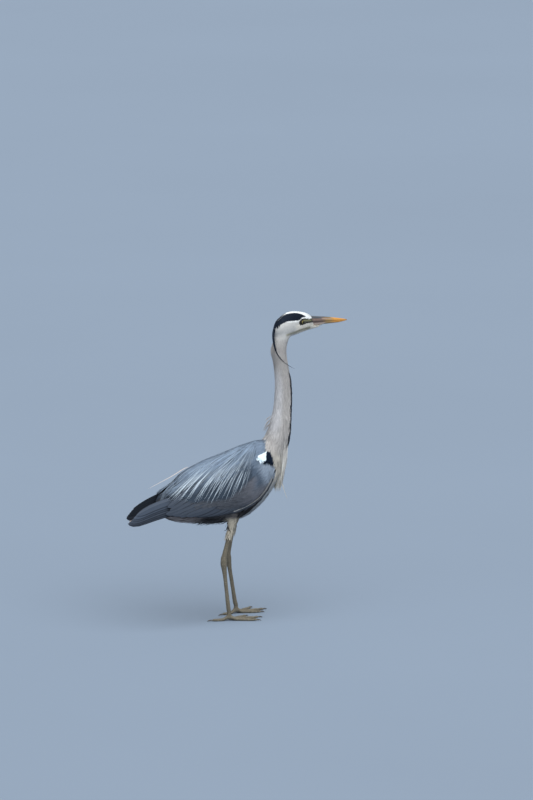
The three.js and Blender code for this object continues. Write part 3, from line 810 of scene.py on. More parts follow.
# ---- Claws: short curved cones of dark horn, eight in all, each a sheath that grows over the last
# bone of its toe. ----
claw_finish, tree, shader = material_for("claw_keratin")
place = add_node(tree, "ShaderNodeTexCoord")
streaks = add_node(tree, "ShaderNodeTexNoise", Scale=700.0, Detail=4.0)
tones = tone_ramp(tree, (0.018, 0.015, 0.012), (0.10, 0.085, 0.065))
join(tree, place, "Object", streaks, "Vector")
join(tree, streaks, "Fac", tones, "Fac")
join(tree, tones, "Color", shader, "Base Color")
bump = add_node(tree, "ShaderNodeBump", Strength=0.3, Distance=0.0002)
join(tree, streaks, "Fac", bump, "Height")
join(tree, bump, "Normal", shader, "Normal")
dial(shader, Roughness=0.4)
for toe in ("middle", "inner", "outer", "hind"):
    for side_name in ("right", "left"):
        node_name = f"claw_{toe}_{side_name}"
        corners, triangles = merged(node_name)
        rough = placed("rough_claw", mesh_from("rough_claw", corners, triangles))
        rounder = rough.modifiers.new("rounder", "SUBSURF")
        rounder.levels = rounder.render_levels = 2
        claw_mesh = evaluated(rough)
        bpy.data.objects.remove(rough)
        claw_mesh.name = node_name + "_horn"
        shade_round(claw_mesh, claw_finish)
        claw = placed(node_name + "_horn", claw_mesh)
        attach(claw, "root")
        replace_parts(claw, node_name)

# ---- Head plumage: sleek feathers like scales, shortest round the bill and eyes, longer over the
# nape, laid back from the bill; lores and lids stay bare. All the bird's feathers are closed vanes
# with a raised middle, laid from their roots over the skin along the lie of the plumage. ----
LIE = np.array([  # x, z, and the way feathers point there
    (255, 765, -1, .05), (240, 785, -.9, .3), (215, 793, -1, -.02), (190, 790, -.95, -.25),
    (165, 775, -.7, -.7), (152, 755, -.3, -.95), (235, 745, -.98, -.15), (210, 750, -.85, -.5),
    (190, 740, -.5, -.85), (180, 765, -.75, -.65), (150, 720, -.05, -1), (188, 715, -.15, -1),
    (150, 690, 0, -1), (188, 680, .05, -1), (155, 640, .15, -1), (196, 640, .1, -1),
    (152, 590, 0, -1), (200, 590, 0, -1), (148, 545, -.1, -1), (200, 540, -.05, -1),
    (138, 505, -.15, -.98), (198, 495, -.1, -1), (128, 480, -.2, -.98), (105, 466, -.95, -.3),
    (126, 455, -.2, -.98),
    (160, 470, -.2, -.98), (190, 450, -.15, -1), (175, 410, -.15, -1), (150, 430, -.25, -.97),
    (130, 440, -.45, -.9), (80, 460, -.95, -.3), (90, 440, -.75, -.65), (110, 400, -.8, -.6),
    (165, 375, -.35, -.94), (145, 340, -.6, -.8), (115, 305, -.8, -.55), (75, 275, -.95, -.3),
    (30, 262, -1, -.05), (-30, 258, -1, 0), (-100, 262, -1, 0), (-170, 285, -.98, .1),
    (60, 330, -.95, -.3), (0, 310, -1, -.15), (-60, 305, -.98, -.2), (-120, 310, -.96, -.28),
    (-180, 315, -.95, -.3), (0, 435, -.93, -.36), (-60, 418, -.93, -.36), (-120, 390, -.9, -.43),
    (12, 238, -.27, -.96), (55, 238, -.22, -.97), (5, 222, -.27, -.96), (50, 222, -.22, -.97),
])
SPINE = np.array([(384, 33, 754), (300, 22, 757), (205, 12, 763), (172, 8, 725), (170, 7, 690),
                  (174, 4, 634), (176, 2, 570), (168, 0, 507), (140, 0, 440), (100, 0, 390),
                  (40, 0, 350), (-60, 0, 340), (-160, 0, 318), (-290, 0, 278)], float)
NARROW = np.array([(-1, 0), (0, 1), (1, 0), (0, -0.6)])
BROAD = np.array([(-1, 0), (-.5, .55), (-.09, .8), (0, 1.5), (.09, .8), (.5, .55),
                  (1, 0), (.5, -.35), (0, -.7), (-.5, -.35)])
ROUNDED = np.array([(0, .5), (.3, .88), (.58, 1), (.8, .86), (.94, .5), (1, 0)])
SHORT = np.array([(0, .6), (.45, 1), (.8, .8), (1, 0)])
LANCE = np.array([(0, .5), (.18, .85), (.38, 1), (.58, .92), (.76, .66), (.9, .34), (1, 0)])
QUILL = np.array([(0, .5), (.12, .8), (.26, .95), (.42, 1), (.58, 1), (.72, .97), (.84, .88),
                  (.93, .66), (.98, .36), (1, 0)])
PATCH = 0.003


def lie(points):
    """Which way feathers point, from the nearest of the directions that are known."""
    gap = ((points[:, None, [0, 2]] - LIE[:, :2]) ** 2).sum(-1)
    weight = 1 / (gap + 60) ** 2
    way = weight @ LIE[:, 2:] / weight.sum(1, keepdims=True)
    return np.column_stack([way[:, 0], np.zeros(len(way)), way[:, 1]])


def spread(points, spacing):
    """Keeps random points of which no two are nearer than their spacing."""
    tree = kdtree.KDTree(len(points))
    for i, point in enumerate(points.tolist()):
        tree.insert(point, i)
    tree.balance()
    free = np.ones(len(points), bool)
    kept = []
    for i, point in enumerate(points.tolist()):
        if free[i]:
            kept.append(i)
            free[[found[1] for found in tree.find_range(point, spacing[i])]] = False
    return np.array(kept)


quad_middle = hide[hide_faces].mean(1)
quad_x, quad_y, quad_z = quad_middle.T
quad_area = 0.5 * np.linalg.norm(np.cross(hide[hide_faces[:, 2]] - hide[hide_faces[:, 0]],
                                          hide[hide_faces[:, 3]] - hide[hide_faces[:, 1]]), axis=1)
quad_part = hide_part[hide_faces[:, 0]]


def of_part(*names):
    return np.isin(quad_part, [PARTS.index(name) for name in names])


def rows(values, count):
    """A value for each feather, from one for all or one for each."""
    values = np.asarray(values, float)
    return np.full(count, float(values)) if values.ndim == 0 else values


def roots_on(where, spacing, seed):
    """Roots scattered over the quads of the skin, and the skin's normals there."""
    chance = np.random.default_rng(seed)
    pitch = rows(spacing(quad_middle), len(quad_middle))
    weight = np.where(where, quad_area / pitch**2, 0)
    count = int(3.2 * weight.sum())
    quad = chance.choice(len(weight), count, p=weight / weight.sum())
    s, t = chance.random((2, count, 1))
    a, b, c, d = (hide[hide_faces[quad, k]] for k in range(4))
    points = (a * (1 - s) + b * s) * (1 - t) + (d * (1 - s) + c * s) * t
    kept = spread(points, rows(spacing(points), count))
    return points[kept], skin_surface[1][quad[kept]]


def seated(points, surface):
    """The nearest points of a surface, and its normals there."""
    found = [surface[0].find_nearest(point) for point in np.asarray(points, float).tolist()]
    return np.array([f[0] for f in found]), surface[1][[f[2] for f in found]]


def march(points, normals, length, shares, surface, way, turn):
    """Paths that start at points and keep to a surface, and its normals along them."""
    at, up = points, normals
    path, ups = [at], [up]
    for step in np.diff(shares):
        heading = way(at)
        heading = unit(heading - (heading * up).sum(1, keepdims=True) * up)
        heading = heading * np.cos(turn) + np.cross(up, heading) * np.sin(turn)
        at, met = seated(at + heading * (length * step)[:, None], surface)
        up = unit(0.4 * up + 0.6 * met)
        path.append(at)
        ups.append(up)
    return np.stack(path, 1), np.stack(ups, 1)


def dress(path, ups, length, half, shape, lift, chance, thick=0.25, section=NARROW, bow=0.12, sink=0.5,
          tint=0.07, colour=None, roll=0.04, lean=0.0, rise=0.8, loose=0.0):
    """Gives paths their height over the surface, widths and colours: a batch of feathers."""
    count = len(path)
    length, half, lift = (rows(v, count) for v in (length, half, lift))
    share = shape[:, 0]
    path = np.concatenate([path[:, :1], 0.25 * path[:, :-2] + 0.5 * path[:, 1:-1] + 0.25 * path[:, 2:],
                           path[:, -1:]], 1)
    lift = lift * (1 + 0.07 * chance.standard_normal(count))
    height = -sink + (lift + sink)[:, None] * share**rise
    height = height + loose * chance.random((count, 1)) * share**2
    path = path + ups * height[..., None]
    along = unit(np.gradient(path, axis=1))
    tilt = roll * chance.standard_normal((count, 1, 1))
    ups = unit(ups + np.cross(along, ups) * tilt)
    if colour is None:
        colour = plumage(path[:, len(shape) // 2])
    elif callable(colour):
        colour = colour(path)
    colour = np.asarray(colour, float)
    if colour.ndim < 3:
        colour = np.broadcast_to(colour, (count, 3))[:, None]
    shade = 1 + rows(tint, count)[:, None] * chance.standard_normal((count, 1))
    return {"path": path, "up": ups, "half": half[:, None] * shape[:, 1], "thick": thick, "bow": bow,
            "colour": colour * shade[..., None], "length": length, "section": section,
            "lean": lean, "share": share, "chance": chance.random(count)}


def lay(points, normals, length, half, shape, lift, seed, surface=skin_surface, way=lie, scatter=0.07,
        backwards=False, **looks):
    """Feathers laid over a surface from their roots, or from their tips when backwards."""
    chance = np.random.default_rng(seed)
    count = len(points)
    length = rows(length, count) * (1 + 0.08 * chance.standard_normal(count))
    half = rows(half, count) * (1 + 0.08 * chance.standard_normal(count))
    turn = scatter * chance.standard_normal(count)[:, None]
    if backwards:
        path, ups = march(points, normals, length, 1 - shape[::-1, 0], surface, lambda at: -way(at), turn)
        path, ups = path[:, ::-1], ups[:, ::-1]
    else:
        path, ups = march(points, normals, length, shape[:, 0], surface, way, turn)
    return dress(path, ups, length, half, shape, lift, chance, **looks)


def unwrapped(points):
    """Where points lie on the unrolled skin: the share of the spine's length, and round it."""
    start, stretch = SPINE[:-1], np.diff(SPINE, axis=0)
    size = np.linalg.norm(stretch, axis=1)
    share = np.clip(((points[:, None] - start) * stretch).sum(-1) / size**2, 0, 1)
    foot = start + share[..., None] * stretch
    gap = np.linalg.norm(points[:, None] - foot, axis=-1)
    nearest = gap.argmin(1)
    each = np.arange(len(points))
    travelled = np.concatenate([[0], np.cumsum(size)])
    spine_share = (travelled[nearest] + share[each, nearest] * size[nearest]) / travelled[-1]
    off = points - foot[each, nearest]
    along = unit(stretch[nearest])
    above = unit(np.cross(along, (0, 1, 0)))
    round_spine = np.arctan2(off[:, 1], (off * above).sum(1)) / (2 * math.pi) + 0.5
    return np.column_stack([spine_share, round_spine])


def coat(name, batches, finish, slot_name, *nodes):
    """One mesh of closed vanes from batches of feathers: rings of the section, and a point."""
    points, colours, spans, vane_uv, bake_uv, corners, starts, rim = ([] for _ in range(8))
    offset, corner_count = 0, 0
    roots = np.concatenate([unwrapped(batch["path"][:, 0]) for batch in batches])
    low, high = roots.min(0), roots.max(0)
    for batch in batches:
        path, up, half, section = batch["path"], batch["up"], batch["half"], batch["section"]
        count, stations = half.shape
        rings, sides, share = stations - 1, len(section), batch["share"]
        along = unit(np.gradient(path, axis=1))
        right = unit(np.cross(along, up))
        up = np.cross(right, along)
        lean = rows(batch["lean"], count)[:, None, None]
        across = section[:, 0] * (1 + lean * np.sign(section[:, 0]))
        reach = half[:, :rings, None] * across
        high_part = (batch["thick"] * (1 - 0.6 * share[:rings]))[None, :, None] * section[:, 1]
        drop = batch["bow"] * half[:, :rings, None] * section[:, 0] ** 2
        body = (path[:, :rings, None] + right[:, :rings, None] * reach[..., None]
                + up[:, :rings, None] * (high_part - drop)[..., None])
        per = rings * sides + 1
        points.append(np.concatenate([body.reshape(count, -1, 3), path[:, -1:]], 1).reshape(-1, 3))
        tone = np.broadcast_to(batch["colour"], (count, stations, 3))
        tone = np.concatenate([np.repeat(tone[:, :rings], sides, 1), tone[:, -1:]], 1)
        colours.append(tone.reshape(-1, 3))
        spans.append(np.repeat(np.column_stack([half.max(1), batch["length"], batch["chance"]]), per, 0))
        side_share = np.append(np.tile(section[:, 0], rings), 0)
        run_share = np.append(np.repeat(share[:rings], sides), 1)
        vane_uv.append(np.tile(np.column_stack([0.5 + 0.5 * side_share, run_share]), (count, 1)))
        seat = (unwrapped(path[:, 0]) - low) / np.maximum(high - low, 1e-6) * (1 - 2 * PATCH) + PATCH
        bake = seat[:, None] + PATCH * np.column_stack([0.5 * side_share, run_share - 0.5])
        bake_uv.append(bake.reshape(-1, 2))
        ring = np.arange(rings - 1)[:, None] * sides
        k, after = np.arange(sides), (np.arange(sides) + 1) % sides
        quads = np.stack([ring + k, ring + after, ring + sides + after, ring + sides + k], -1)
        last = (rings - 1) * sides
        tips = np.stack([last + k, last + after, np.full(sides, per - 1)], -1)
        one = np.concatenate([quads.reshape(-1), tips.reshape(-1), np.arange(sides)[::-1]])
        sizes = np.concatenate([np.full(quads.size // 4, 4), np.full(sides, 3), [sides]])
        corners.append((one + offset + per * np.arange(count)[:, None]).ravel())
        begin = np.concatenate([[0], np.cumsum(sizes)[:-1]])
        starts.append((begin + corner_count + len(one) * np.arange(count)[:, None]).ravel())
        edge_mark = np.where(side_share == -1, 1, np.where(side_share == 1, 2, 0))
        edge_mark[-1] = 3
        rim.append(np.tile(edge_mark, count))
        offset += per * count
        corner_count += len(one) * count
    points, corners, starts, rim = (np.concatenate(parts) for parts in (points, corners, starts, rim))
    mesh = bpy.data.meshes.new(name)
    mesh.vertices.add(len(points))
    mesh.vertices.foreach_set("co", in_frame(points).ravel())
    mesh.loops.add(len(corners))
    mesh.loops.foreach_set("vertex_index", corners)
    mesh.polygons.add(len(starts))
    mesh.polygons.foreach_set("loop_start", starts)
    mesh.update(calc_edges=True)
    for layer_name, values in (("OFBake", bake_uv), ("Vane", vane_uv)):
        layer = mesh.uv_layers.new(name=layer_name)
        layer.data.foreach_set("uv", np.concatenate(values)[corners].ravel())
    paint(mesh, "marking", np.clip(np.concatenate(colours), 0.002, 0.95))
    span_layer = mesh.attributes.new("span", "FLOAT_VECTOR", "POINT")
    span_layer.data.foreach_set("vector", np.concatenate(spans).ravel())
    a, b = rim[read(mesh.edges, "vertices", 2, int)].T
    sharp = mesh.attributes.new("sharp_edge", "BOOLEAN", "EDGE")
    sharp.data.foreach_set("value", (a & b) > 0)
    shade_round(mesh, finish)
    piece = placed(name, mesh)
    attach(piece, "root")
    if nodes:
        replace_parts(piece, *nodes)


def reckon(tree, operation, first, second=0.0, third=0.0, clamp=False):
    """What a sum over sockets and numbers comes to, as a socket."""
    node = add_node(tree, "ShaderNodeMath", operation=operation, use_clamp=clamp)
    for socket, value in zip(node.inputs, (first, second, third)):
        if isinstance(value, (int, float)):
            socket.default_value = value
        else:
            tree.links.new(value, socket)
    return node.outputs[0]


def vane_finish(name, barbs=0.25, pitch=1.1, shaft=0.0, shaft_tone=(0.02, 0.02, 0.02), fringe_and_edge_shade=0.0,
                rough=0.62, sheen=0.05, shine=0.22):
    """Feather vanes: slanting barbs, a shaft along the middle and a fringe along the edges: paler when the
    setting is above nought, and below nought darker as painted shade where vanes overlap.
    """
    material, tree, shader = material_for(name)

    def of(operation, *values, **how):
        return reckon(tree, operation, *values, **how)

    marking = add_node(tree, "ShaderNodeAttribute", attribute_name="marking")
    span = add_node(tree, "ShaderNodeAttribute", attribute_name="span")
    vane = add_node(tree, "ShaderNodeUVMap", uv_map="Vane")
    sizes = add_node(tree, "ShaderNodeSeparateXYZ")
    run = add_node(tree, "ShaderNodeSeparateXYZ")
    join(tree, span, "Vector", sizes, 0)
    join(tree, vane, "UV", run, 0)
    half, length, chance = sizes.outputs
    across = of("ABSOLUTE", of("MULTIPLY_ADD", run.outputs[0], 2.0, -1.0))
    across_mm = of("MULTIPLY", across, half)
    slant = of("MULTIPLY_ADD", across_mm, -0.9, of("MULTIPLY", run.outputs[1], length))
    where = add_node(tree, "ShaderNodeCombineXYZ")
    for socket, value, scale in zip(where.inputs, (slant, across_mm, chance), (1.0 / pitch, 0.08, 97.0)):
        tree.links.new(of("MULTIPLY", value, scale), socket)
    grain = add_node(tree, "ShaderNodeTexNoise", Scale=1.0, Detail=2.5, Roughness=0.65)
    join(tree, where, 0, grain, "Vector")
    light = of("MULTIPLY_ADD", grain.outputs["Fac"], 2 * barbs, 1 - barbs)
    if fringe_and_edge_shade:
        edge = of("MULTIPLY_ADD", across, 5.0, -3.9, clamp=True)
        light = of("MULTIPLY", light, of("MULTIPLY_ADD", edge, fringe_and_edge_shade, 1.0))
    toned = add_node(tree, "ShaderNodeVectorMath", operation="SCALE")
    join(tree, marking, "Color", toned, 0)
    tree.links.new(light, toned.inputs["Scale"])
    colour = toned.outputs[0]
    if shaft:
        mixed = add_node(tree, "ShaderNodeMix", data_type="RGBA")
        mixed.inputs[7].default_value = (*shaft_tone, 1)
        shaft_mask = of("MULTIPLY_ADD", across_mm, -2.6, 1.5, clamp=True)
        tree.links.new(of("MULTIPLY", shaft_mask, shaft), mixed.inputs[0])
        tree.links.new(colour, mixed.inputs[6])
        colour = mixed.outputs[2]
    tree.links.new(colour, shader.inputs["Base Color"])
    bump = add_node(tree, "ShaderNodeBump", Strength=0.5, Distance=0.00025)
    join(tree, grain, "Fac", bump, "Height")
    join(tree, bump, "Normal", shader, "Normal")
    dial(shader, Roughness=rough, Specular_IOR_Level=shine, Sheen_Weight=sheen, Sheen_Roughness=0.5)
    return material


def marked_along(path):
    """Markings that cross the vanes, where a feather lies over the edge of one."""
    return plumage(path.reshape(-1, 3)).reshape(path.shape)


head_finish = vane_finish("head_feathers", barbs=0.12, rough=0.7, sheen=0.02, shine=0.12)
ahead, across, up = on_head(quad_middle).T
bare = ((within(ahead, up, BARE_LORE, 0.1) > 0.5) & (np.abs(across) > 6)) | (
    np.hypot(ahead - EYE_AHEAD, up - EYE_UP) < 6.7)
feathered = (of_part("head") | (of_part("neck") & (quad_z > 728))) & ~(bare & (ahead > 5)) & ~(
    (ahead > 61) & (up > -9))
points, normals = roots_on(
    feathered, lambda at: np.interp(on_head(at)[:, 0], (-50, 10, 55), (1.5, 1.2, 0.92)), seed=11)
CHIN_TUFTS = 320
chance = np.random.default_rng(13)
root_ahead = np.linspace(101, 58, CHIN_TUFTS)
round_jaw = chance.uniform(-0.8, 0.8, CHIN_TUFTS)
chin_line = []
for share in SHORT[:, 0]:
    ahead = root_ahead - 8 * share
    _, mouth, under, half = bill_column(ahead)
    stand = 0.3 + (0.8 + 2.0 * share) * ease(ahead, 102, 84)
    across = (0.94 * half + stand) * np.sin(round_jaw)
    up = mouth + (under - mouth - stand) * np.cos(round_jaw)
    chin_line.append(from_head(np.column_stack([ahead, across, up])))
chin_ups = np.column_stack([0 * round_jaw, np.sin(round_jaw), -np.cos(round_jaw)])
chin_ups = np.repeat(unit(from_head(chin_ups) - HEAD_MIDDLE)[:, None], len(SHORT), 1)
chin_tufts = dress(np.stack(chin_line, 1), chin_ups, 8, 0.55, SHORT, 0.2, chance, thick=0.12, sink=0,
                   bow=0.06, colour=CHIN)
size = np.interp(on_head(points)[:, 0], (-50, -10, 25, 60), (11.5, 8.5, 5.6, 3.4))
coat("head_plumage", [
    chin_tufts,
    lay(points, normals, size, size * 0.075 + 0.28, SHORT, lift=np.interp(size, (3, 11), (0.6, 1.3)),
        seed=12, thick=0.12, sink=0.3, scatter=0.08, tint=0.04, bow=0.06, colour=marked_along),
], head_finish, "head_plumage")

# ---- Neck plumage: long soft narrow feathers that hang down the neck almost like hair, with a
# line of black streaks down each side of its front. ----
patches = [within(quad_x, quad_z, patch, 0.1) for patch in (WHITE_PATCH, BLACK_PATCH)]
in_patch = (np.maximum(*patches) > 0.5) & (np.abs(quad_y) > 22)
pale_below = within(quad_x, quad_z, PALE_UNDERSIDE, 1)
low_neck = of_part("trunk") & (pale_below > 0.5) & (quad_z > 395) & ~in_patch
# A few ruffled feathers at the back of the neck's foot, each along one of these lines.
NECK_TUFT = (((138, -10, 520), (124, -10, 510), (115, -9, 494)),
             ((132, -12, 508), (121, -12, 498), (111, -11, 486)),
             ((136, -6, 524), (126, -6, 517), (119, -6, 512)))
TUFT_STRANDS, TUFT_BROWN = 12, (0.26, 0.235, 0.215)
BULGE_DEPTH, BULGE_LEVEL, BULGE_HALF_LENGTH = 7.0, 692, 23
neck_finish = vane_finish("neck_feathers", barbs=0.24, rough=0.75, shine=0.12)


def neck_feathers(where, seed):
    """Narrow feathers, shortest behind the neck's foot."""
    points, normals = roots_on(
        where, lambda at: np.interp(at[:, 2], (400, 560, 730), (2.6, 2.15, 1.75)), seed=seed)
    x, _, z = points.T
    size = np.interp(z, (400, 430, 560, 730), (20, 34, 26, 17)) * np.interp(
        x - 0.35 * (z - 400), (105, 125), (0.55, 1))
    return lay(points, normals, size, 0.95, LANCE, lift=np.interp(size, (10, 30), (1.3, 2.2)),
               thick=0.10, bow=0.05, seed=seed + 1, scatter=0.05,
               tint=np.interp(z, (450, 560, 680), (0.17, 0.10, 0.05)))


def strand(line, stations, outward):
    """One feather's path along a smoothed line of points, and its upward directions."""
    line = np.asarray(line, float)
    for _ in range(3):
        between = np.stack([0.75 * line[:-1] + 0.25 * line[1:], 0.25 * line[:-1] + 0.75 * line[1:]], 1)
        line = np.concatenate([line[:1], between.reshape(-1, 3), line[-1:]])
    run = np.concatenate([[0], np.cumsum(np.linalg.norm(np.diff(line, axis=0), axis=1))])
    path = np.column_stack([np.interp(run[-1] * stations, run, column) for column in line.T])[None]
    return path, np.broadcast_to(unit(np.array(outward, float)), path.shape), run[-1]


high_neck = neck_feathers(of_part("neck") & (quad_z < 732) & (quad_z > 560), seed=21)
x, _, z = np.moveaxis(high_neck["path"], -1, 0)
high_neck["path"][..., 0] -= BULGE_DEPTH * np.exp(-(((z - BULGE_LEVEL) / BULGE_HALF_LENGTH) ** 2)) * ease(
    -x, -164, -147)
coat("neck_plumage_high", [high_neck], neck_finish, "neck_plumage")
batches = [neck_feathers((of_part("neck") & (quad_z <= 560)) | low_neck, seed=23)]
chance = np.random.default_rng(28)
for number in range(TUFT_STRANDS):
    line = NECK_TUFT[number % 3] + chance.normal(0, 1.0, (3, 3)) * ((1,), (1.5,), (3.0,))
    path, ups, reach = strand(line, LANCE[:, 0], (-0.8, -0.6, 0.2))
    batches.append(dress(path, ups, reach, 0.55, LANCE, 0, chance, sink=0, tint=0.25, colour=TUFT_BROWN))
coat("neck_plumage_low", batches, neck_finish, "neck_plumage")

# The streaks of the front: the neck's middle line at each height, and how far round it they lie.
NECK_MIDDLE_X = ((392, 438, 470, 507, 545, 596, 640, 682), (130, 144, 160, 168, 174, 177, 173, 168))
NECK_MIDDLE_Y = ((507, 545, 596, 640, 682), (0, 1, 3, 5, 7))
STREAK_TURN = ((396, 439, 480, 511, 561, 600, 640, 660), (32, 33, 42, 48, 48, 46, 42, 40))
STREAK_FOOT, STREAK_TOP = 424, 648
outside = []
chance = np.random.default_rng(25)
for side in (-1, 1):
    for z in np.arange(STREAK_FOOT, STREAK_TOP, 3.0):
        for _ in range(4 if z < 590 else 3):
            level = z + chance.normal(0, 1.5)
            middle = np.array([np.interp(level, *NECK_MIDDLE_X), np.interp(level, *NECK_MIDDLE_Y), level])
            angle = math.radians(np.interp(level, *STREAK_TURN) + chance.normal(0, 4.5)) * side
            outside.append(middle + 60 * np.array([math.cos(angle), math.sin(angle), 0]))
points, normals = seated(outside, skin_surface)
z = points[:, 2]
coat("neck_streaks", [
    lay(points, normals, np.interp(z, (440, 480), (30, 21)), np.interp(z, (400, 560, 640), (1.6, 1.5, 1.0)),
        LANCE, lift=np.interp(z, (450, 500), (5.0, 3.2)), seed=26, colour=STRIPE_BLACK, scatter=0.04,
        thick=0.15, bow=0.05),
], neck_finish, "neck_plumage")

# ---- Body plumage: soft rounded contour feathers, blue-grey and hanging in rows on the mantle, and
# paler, longer and looser on breast, flanks, belly and vent, with dark tufts between the legs as painted
# shadow there. ----
body_finish = vane_finish("body_feathers", barbs=0.24, rough=0.7, shine=0.15)
SHADE_TUFT_BLACK = (0.030, 0.029, 0.033)


def back_and_down(angle):
    return np.column_stack([-np.cos(angle), np.zeros(len(angle)), -np.sin(angle)])


def drape(at):
    """Back and down, steeper the further below the ridge of the back."""
    x, _, z = at.T
    return back_and_down(np.radians(31 + 0.31 * (np.interp(x, *RIDGE) - z) + 0.119 * np.maximum(x + 40, 0)
                                    + 0.30 * np.maximum(x - 15, 0)))


def back_way(at):
    """Straight back at the neck's foot, then with the scapulars."""
    return unit(blend(lie(at), drape(at), 0.75 * ease(at[:, 0], 105, 60)))


trunk_top = of_part("trunk") & (pale_below < 0.5)
points, normals = roots_on(trunk_top, lambda at: np.interp(at[:, 0], (-100, 100), (3.6, 2.7)), seed=31)
size = np.interp(points[:, 0], (-185, -120, 0, 110), (22, 38, 36, 24))
coat("mantle_plumage", [
    lay(points, normals, size, size * 0.045 + 1.1, LANCE, lift=np.interp(size, (20, 38), (1.8, 2.4)),
        seed=32, tint=0.06, way=back_way, thick=0.10, bow=0.04, scatter=0.04),
], body_finish, "wing_plumage")
trunk_low = of_part("trunk") & ~trunk_top & ~low_neck & ~in_patch
points, normals = roots_on(trunk_low, lambda at: 3.2, seed=33)
between_legs = trunk_low & (np.abs(quad_x + 8) < 36) & (quad_z < 288)
tuft_points, tuft_normals = roots_on(between_legs, lambda at: 5.5, seed=37)
coat("breast_plumage", [
    lay(points, normals, 28, 1.7, LANCE, lift=3.8, seed=34, tint=0.09, thick=0.15, bow=0.05,
        loose=np.interp(points[:, 0], (-120, 0, 20), (3.0, 3.0, 0.0))[:, None]),
    # Black tufts between the legs: painted shadow under the body, given as dark feathers.
    lay(tuft_points, tuft_normals, 44, 2.2, LANCE, lift=7.5, seed=38, tint=0.2, scatter=0.16, loose=6.0,
        colour=SHADE_TUFT_BLACK),
], body_finish, "body_plumage")

# ---- Thigh plumage: short soft pale feathers, loose like trousers, that cover the leg's muscle and
# end in a ragged edge over the bare leg. ----
points, normals = roots_on(of_part("thigh"), lambda at: 2.2, seed=35)
coat("thigh_plumage", [
    lay(points, normals, np.interp(points[:, 2], (235, 275), (27, 18)), 1.35, LANCE, seed=36, tint=0.08,
        lift=np.interp(points[:, 2], (235, 275), (5.5, 3.0)), scatter=0.06, rise=1.0, loose=0.8, thick=0.15,
        bow=0.05),
], body_finish, "body_plumage")

# ---- Wing coverts: small rounded feathers that overlap like tiles on the folded wing, growing
# larger backwards, with white ones along its front edge and the white and black wrist patch. ----
covert_finish = vane_finish("covert_feathers", barbs=0.3, rough=0.75, fringe_and_edge_shade=0.12, shine=0.06, sheen=0.0)
WING_RIM = ((131, 121, 107, 90, 63, 46, 18), (376, 360, 338, 316, 300, 292, 289))
WING_FOOT = ((-206, -95, -24, 20, 51, 82), (295, 280, 284, 292, 300, 313))
RIM_FEATHERS, RIM_WHITE = 120, (0.50, 0.49, 0.47)


def above_foot(at):
    return at[:, 2] - np.interp(at[:, 0], *WING_FOOT)


for side_name, side, seed in (("right", -1, 41), ("left", 1, 51)):
    here = quad_y * side > 0
    on_wing = of_part("wing") & here & ~in_patch & (
        above_foot(quad_middle) > np.interp(quad_x, (-150, -20, 60), (32, 26, -20)))
    points, normals = roots_on(
        on_wing, lambda at: np.interp(at[:, 0], (-150, 0, 110), (4.6, 3.5, 2.6)), seed=seed)
    size = np.interp(points[:, 0], (-150, 0, 110), (44, 36, 24))
    rim_x, rim_z = (np.interp(np.linspace(0, 1, RIM_FEATHERS), np.linspace(0, 1, len(line)), line)
                    for line in WING_RIM)
    rim = seated(np.column_stack([rim_x, np.full(RIM_FEATHERS, side * 56), rim_z + 2]), skin_surface)
    patch_points, patch_normals = roots_on(in_patch & here, lambda at: 1.4, seed=seed + 4)
    spot = patch_points[:, 0] - 5, patch_points[:, 2] - 2
    white, black = (within(*spot, patch, 0.1) > 0.5 for patch in (WHITE_PATCH, BLACK_PATCH))
    marked = white | black
    coat("coverts_" + side_name, [
        lay(points, normals, size, size * 0.05 + 0.9, LANCE, lift=np.interp(size, (24, 36), (1.4, 2.6)),
            seed=seed + 1, tint=0.07, thick=0.08, bow=0.04),
        lay(*rim, 17, 0.9, ROUNDED, lift=4.0, seed=seed + 2, tint=0.06, scatter=0.02, colour=RIM_WHITE,
            thick=0.15),
        lay(patch_points[marked], patch_normals[marked], 9.5, 1.1, LANCE, lift=4.2, seed=seed + 3,
            tint=0.02, sink=-2.6, thick=0.12,
            colour=np.where(white[marked, None], SHOULDER_WHITE, STRIPE_BLACK)),
    ], covert_finish, "wing_plumage")

# ---- Flight feathers: stiff quills with a pale shaft and a narrow outer vane. The secondaries
# fold back over the flank, each inner one over the next outer, and the primaries reach past the
# rump beside the tail. ----
# The quills' edges are darkened: painted shade where each quill overlaps the next.
quill_finish = vane_finish("flight_quills", barbs=0.14, pitch=0.8, shaft=0.4, shaft_tone=(0.13, 0.14, 0.15),
                           fringe_and_edge_shade=-0.75, rough=0.5)
SECONDARIES, PRIMARIES, PRIMARY_ROOT_X, PRIMARY_REACH, QUILL_HALF = 13, 6, -125.0, 170, 10.5
# Along the folded primaries: how far out they lie, and the heights they lie between.
BLADE_X = (-288, -280, -260, -227, -180, -140)
BLADE_OUT, BLADE_OUT_REAR = (BLADE_X, (14, 16, 18, 23, 31, 38)), 36.2
BLADE_LOW, BLADE_HIGH = (277, 272, 273, 283, 293, 301), (283, 293, 307, 326, 342, 351)
QUILL_SLATES = ((0.050, 0.058, 0.076), (0.064, 0.078, 0.104))
BLADE_SLATES = ((0.038, 0.049, 0.070), (0.054, 0.069, 0.097))


def quill_way(at):
    """Back and down, steeper higher on the wing."""
    return back_and_down(np.radians(np.clip(8 + 0.70 * above_foot(at), 6, 44)))


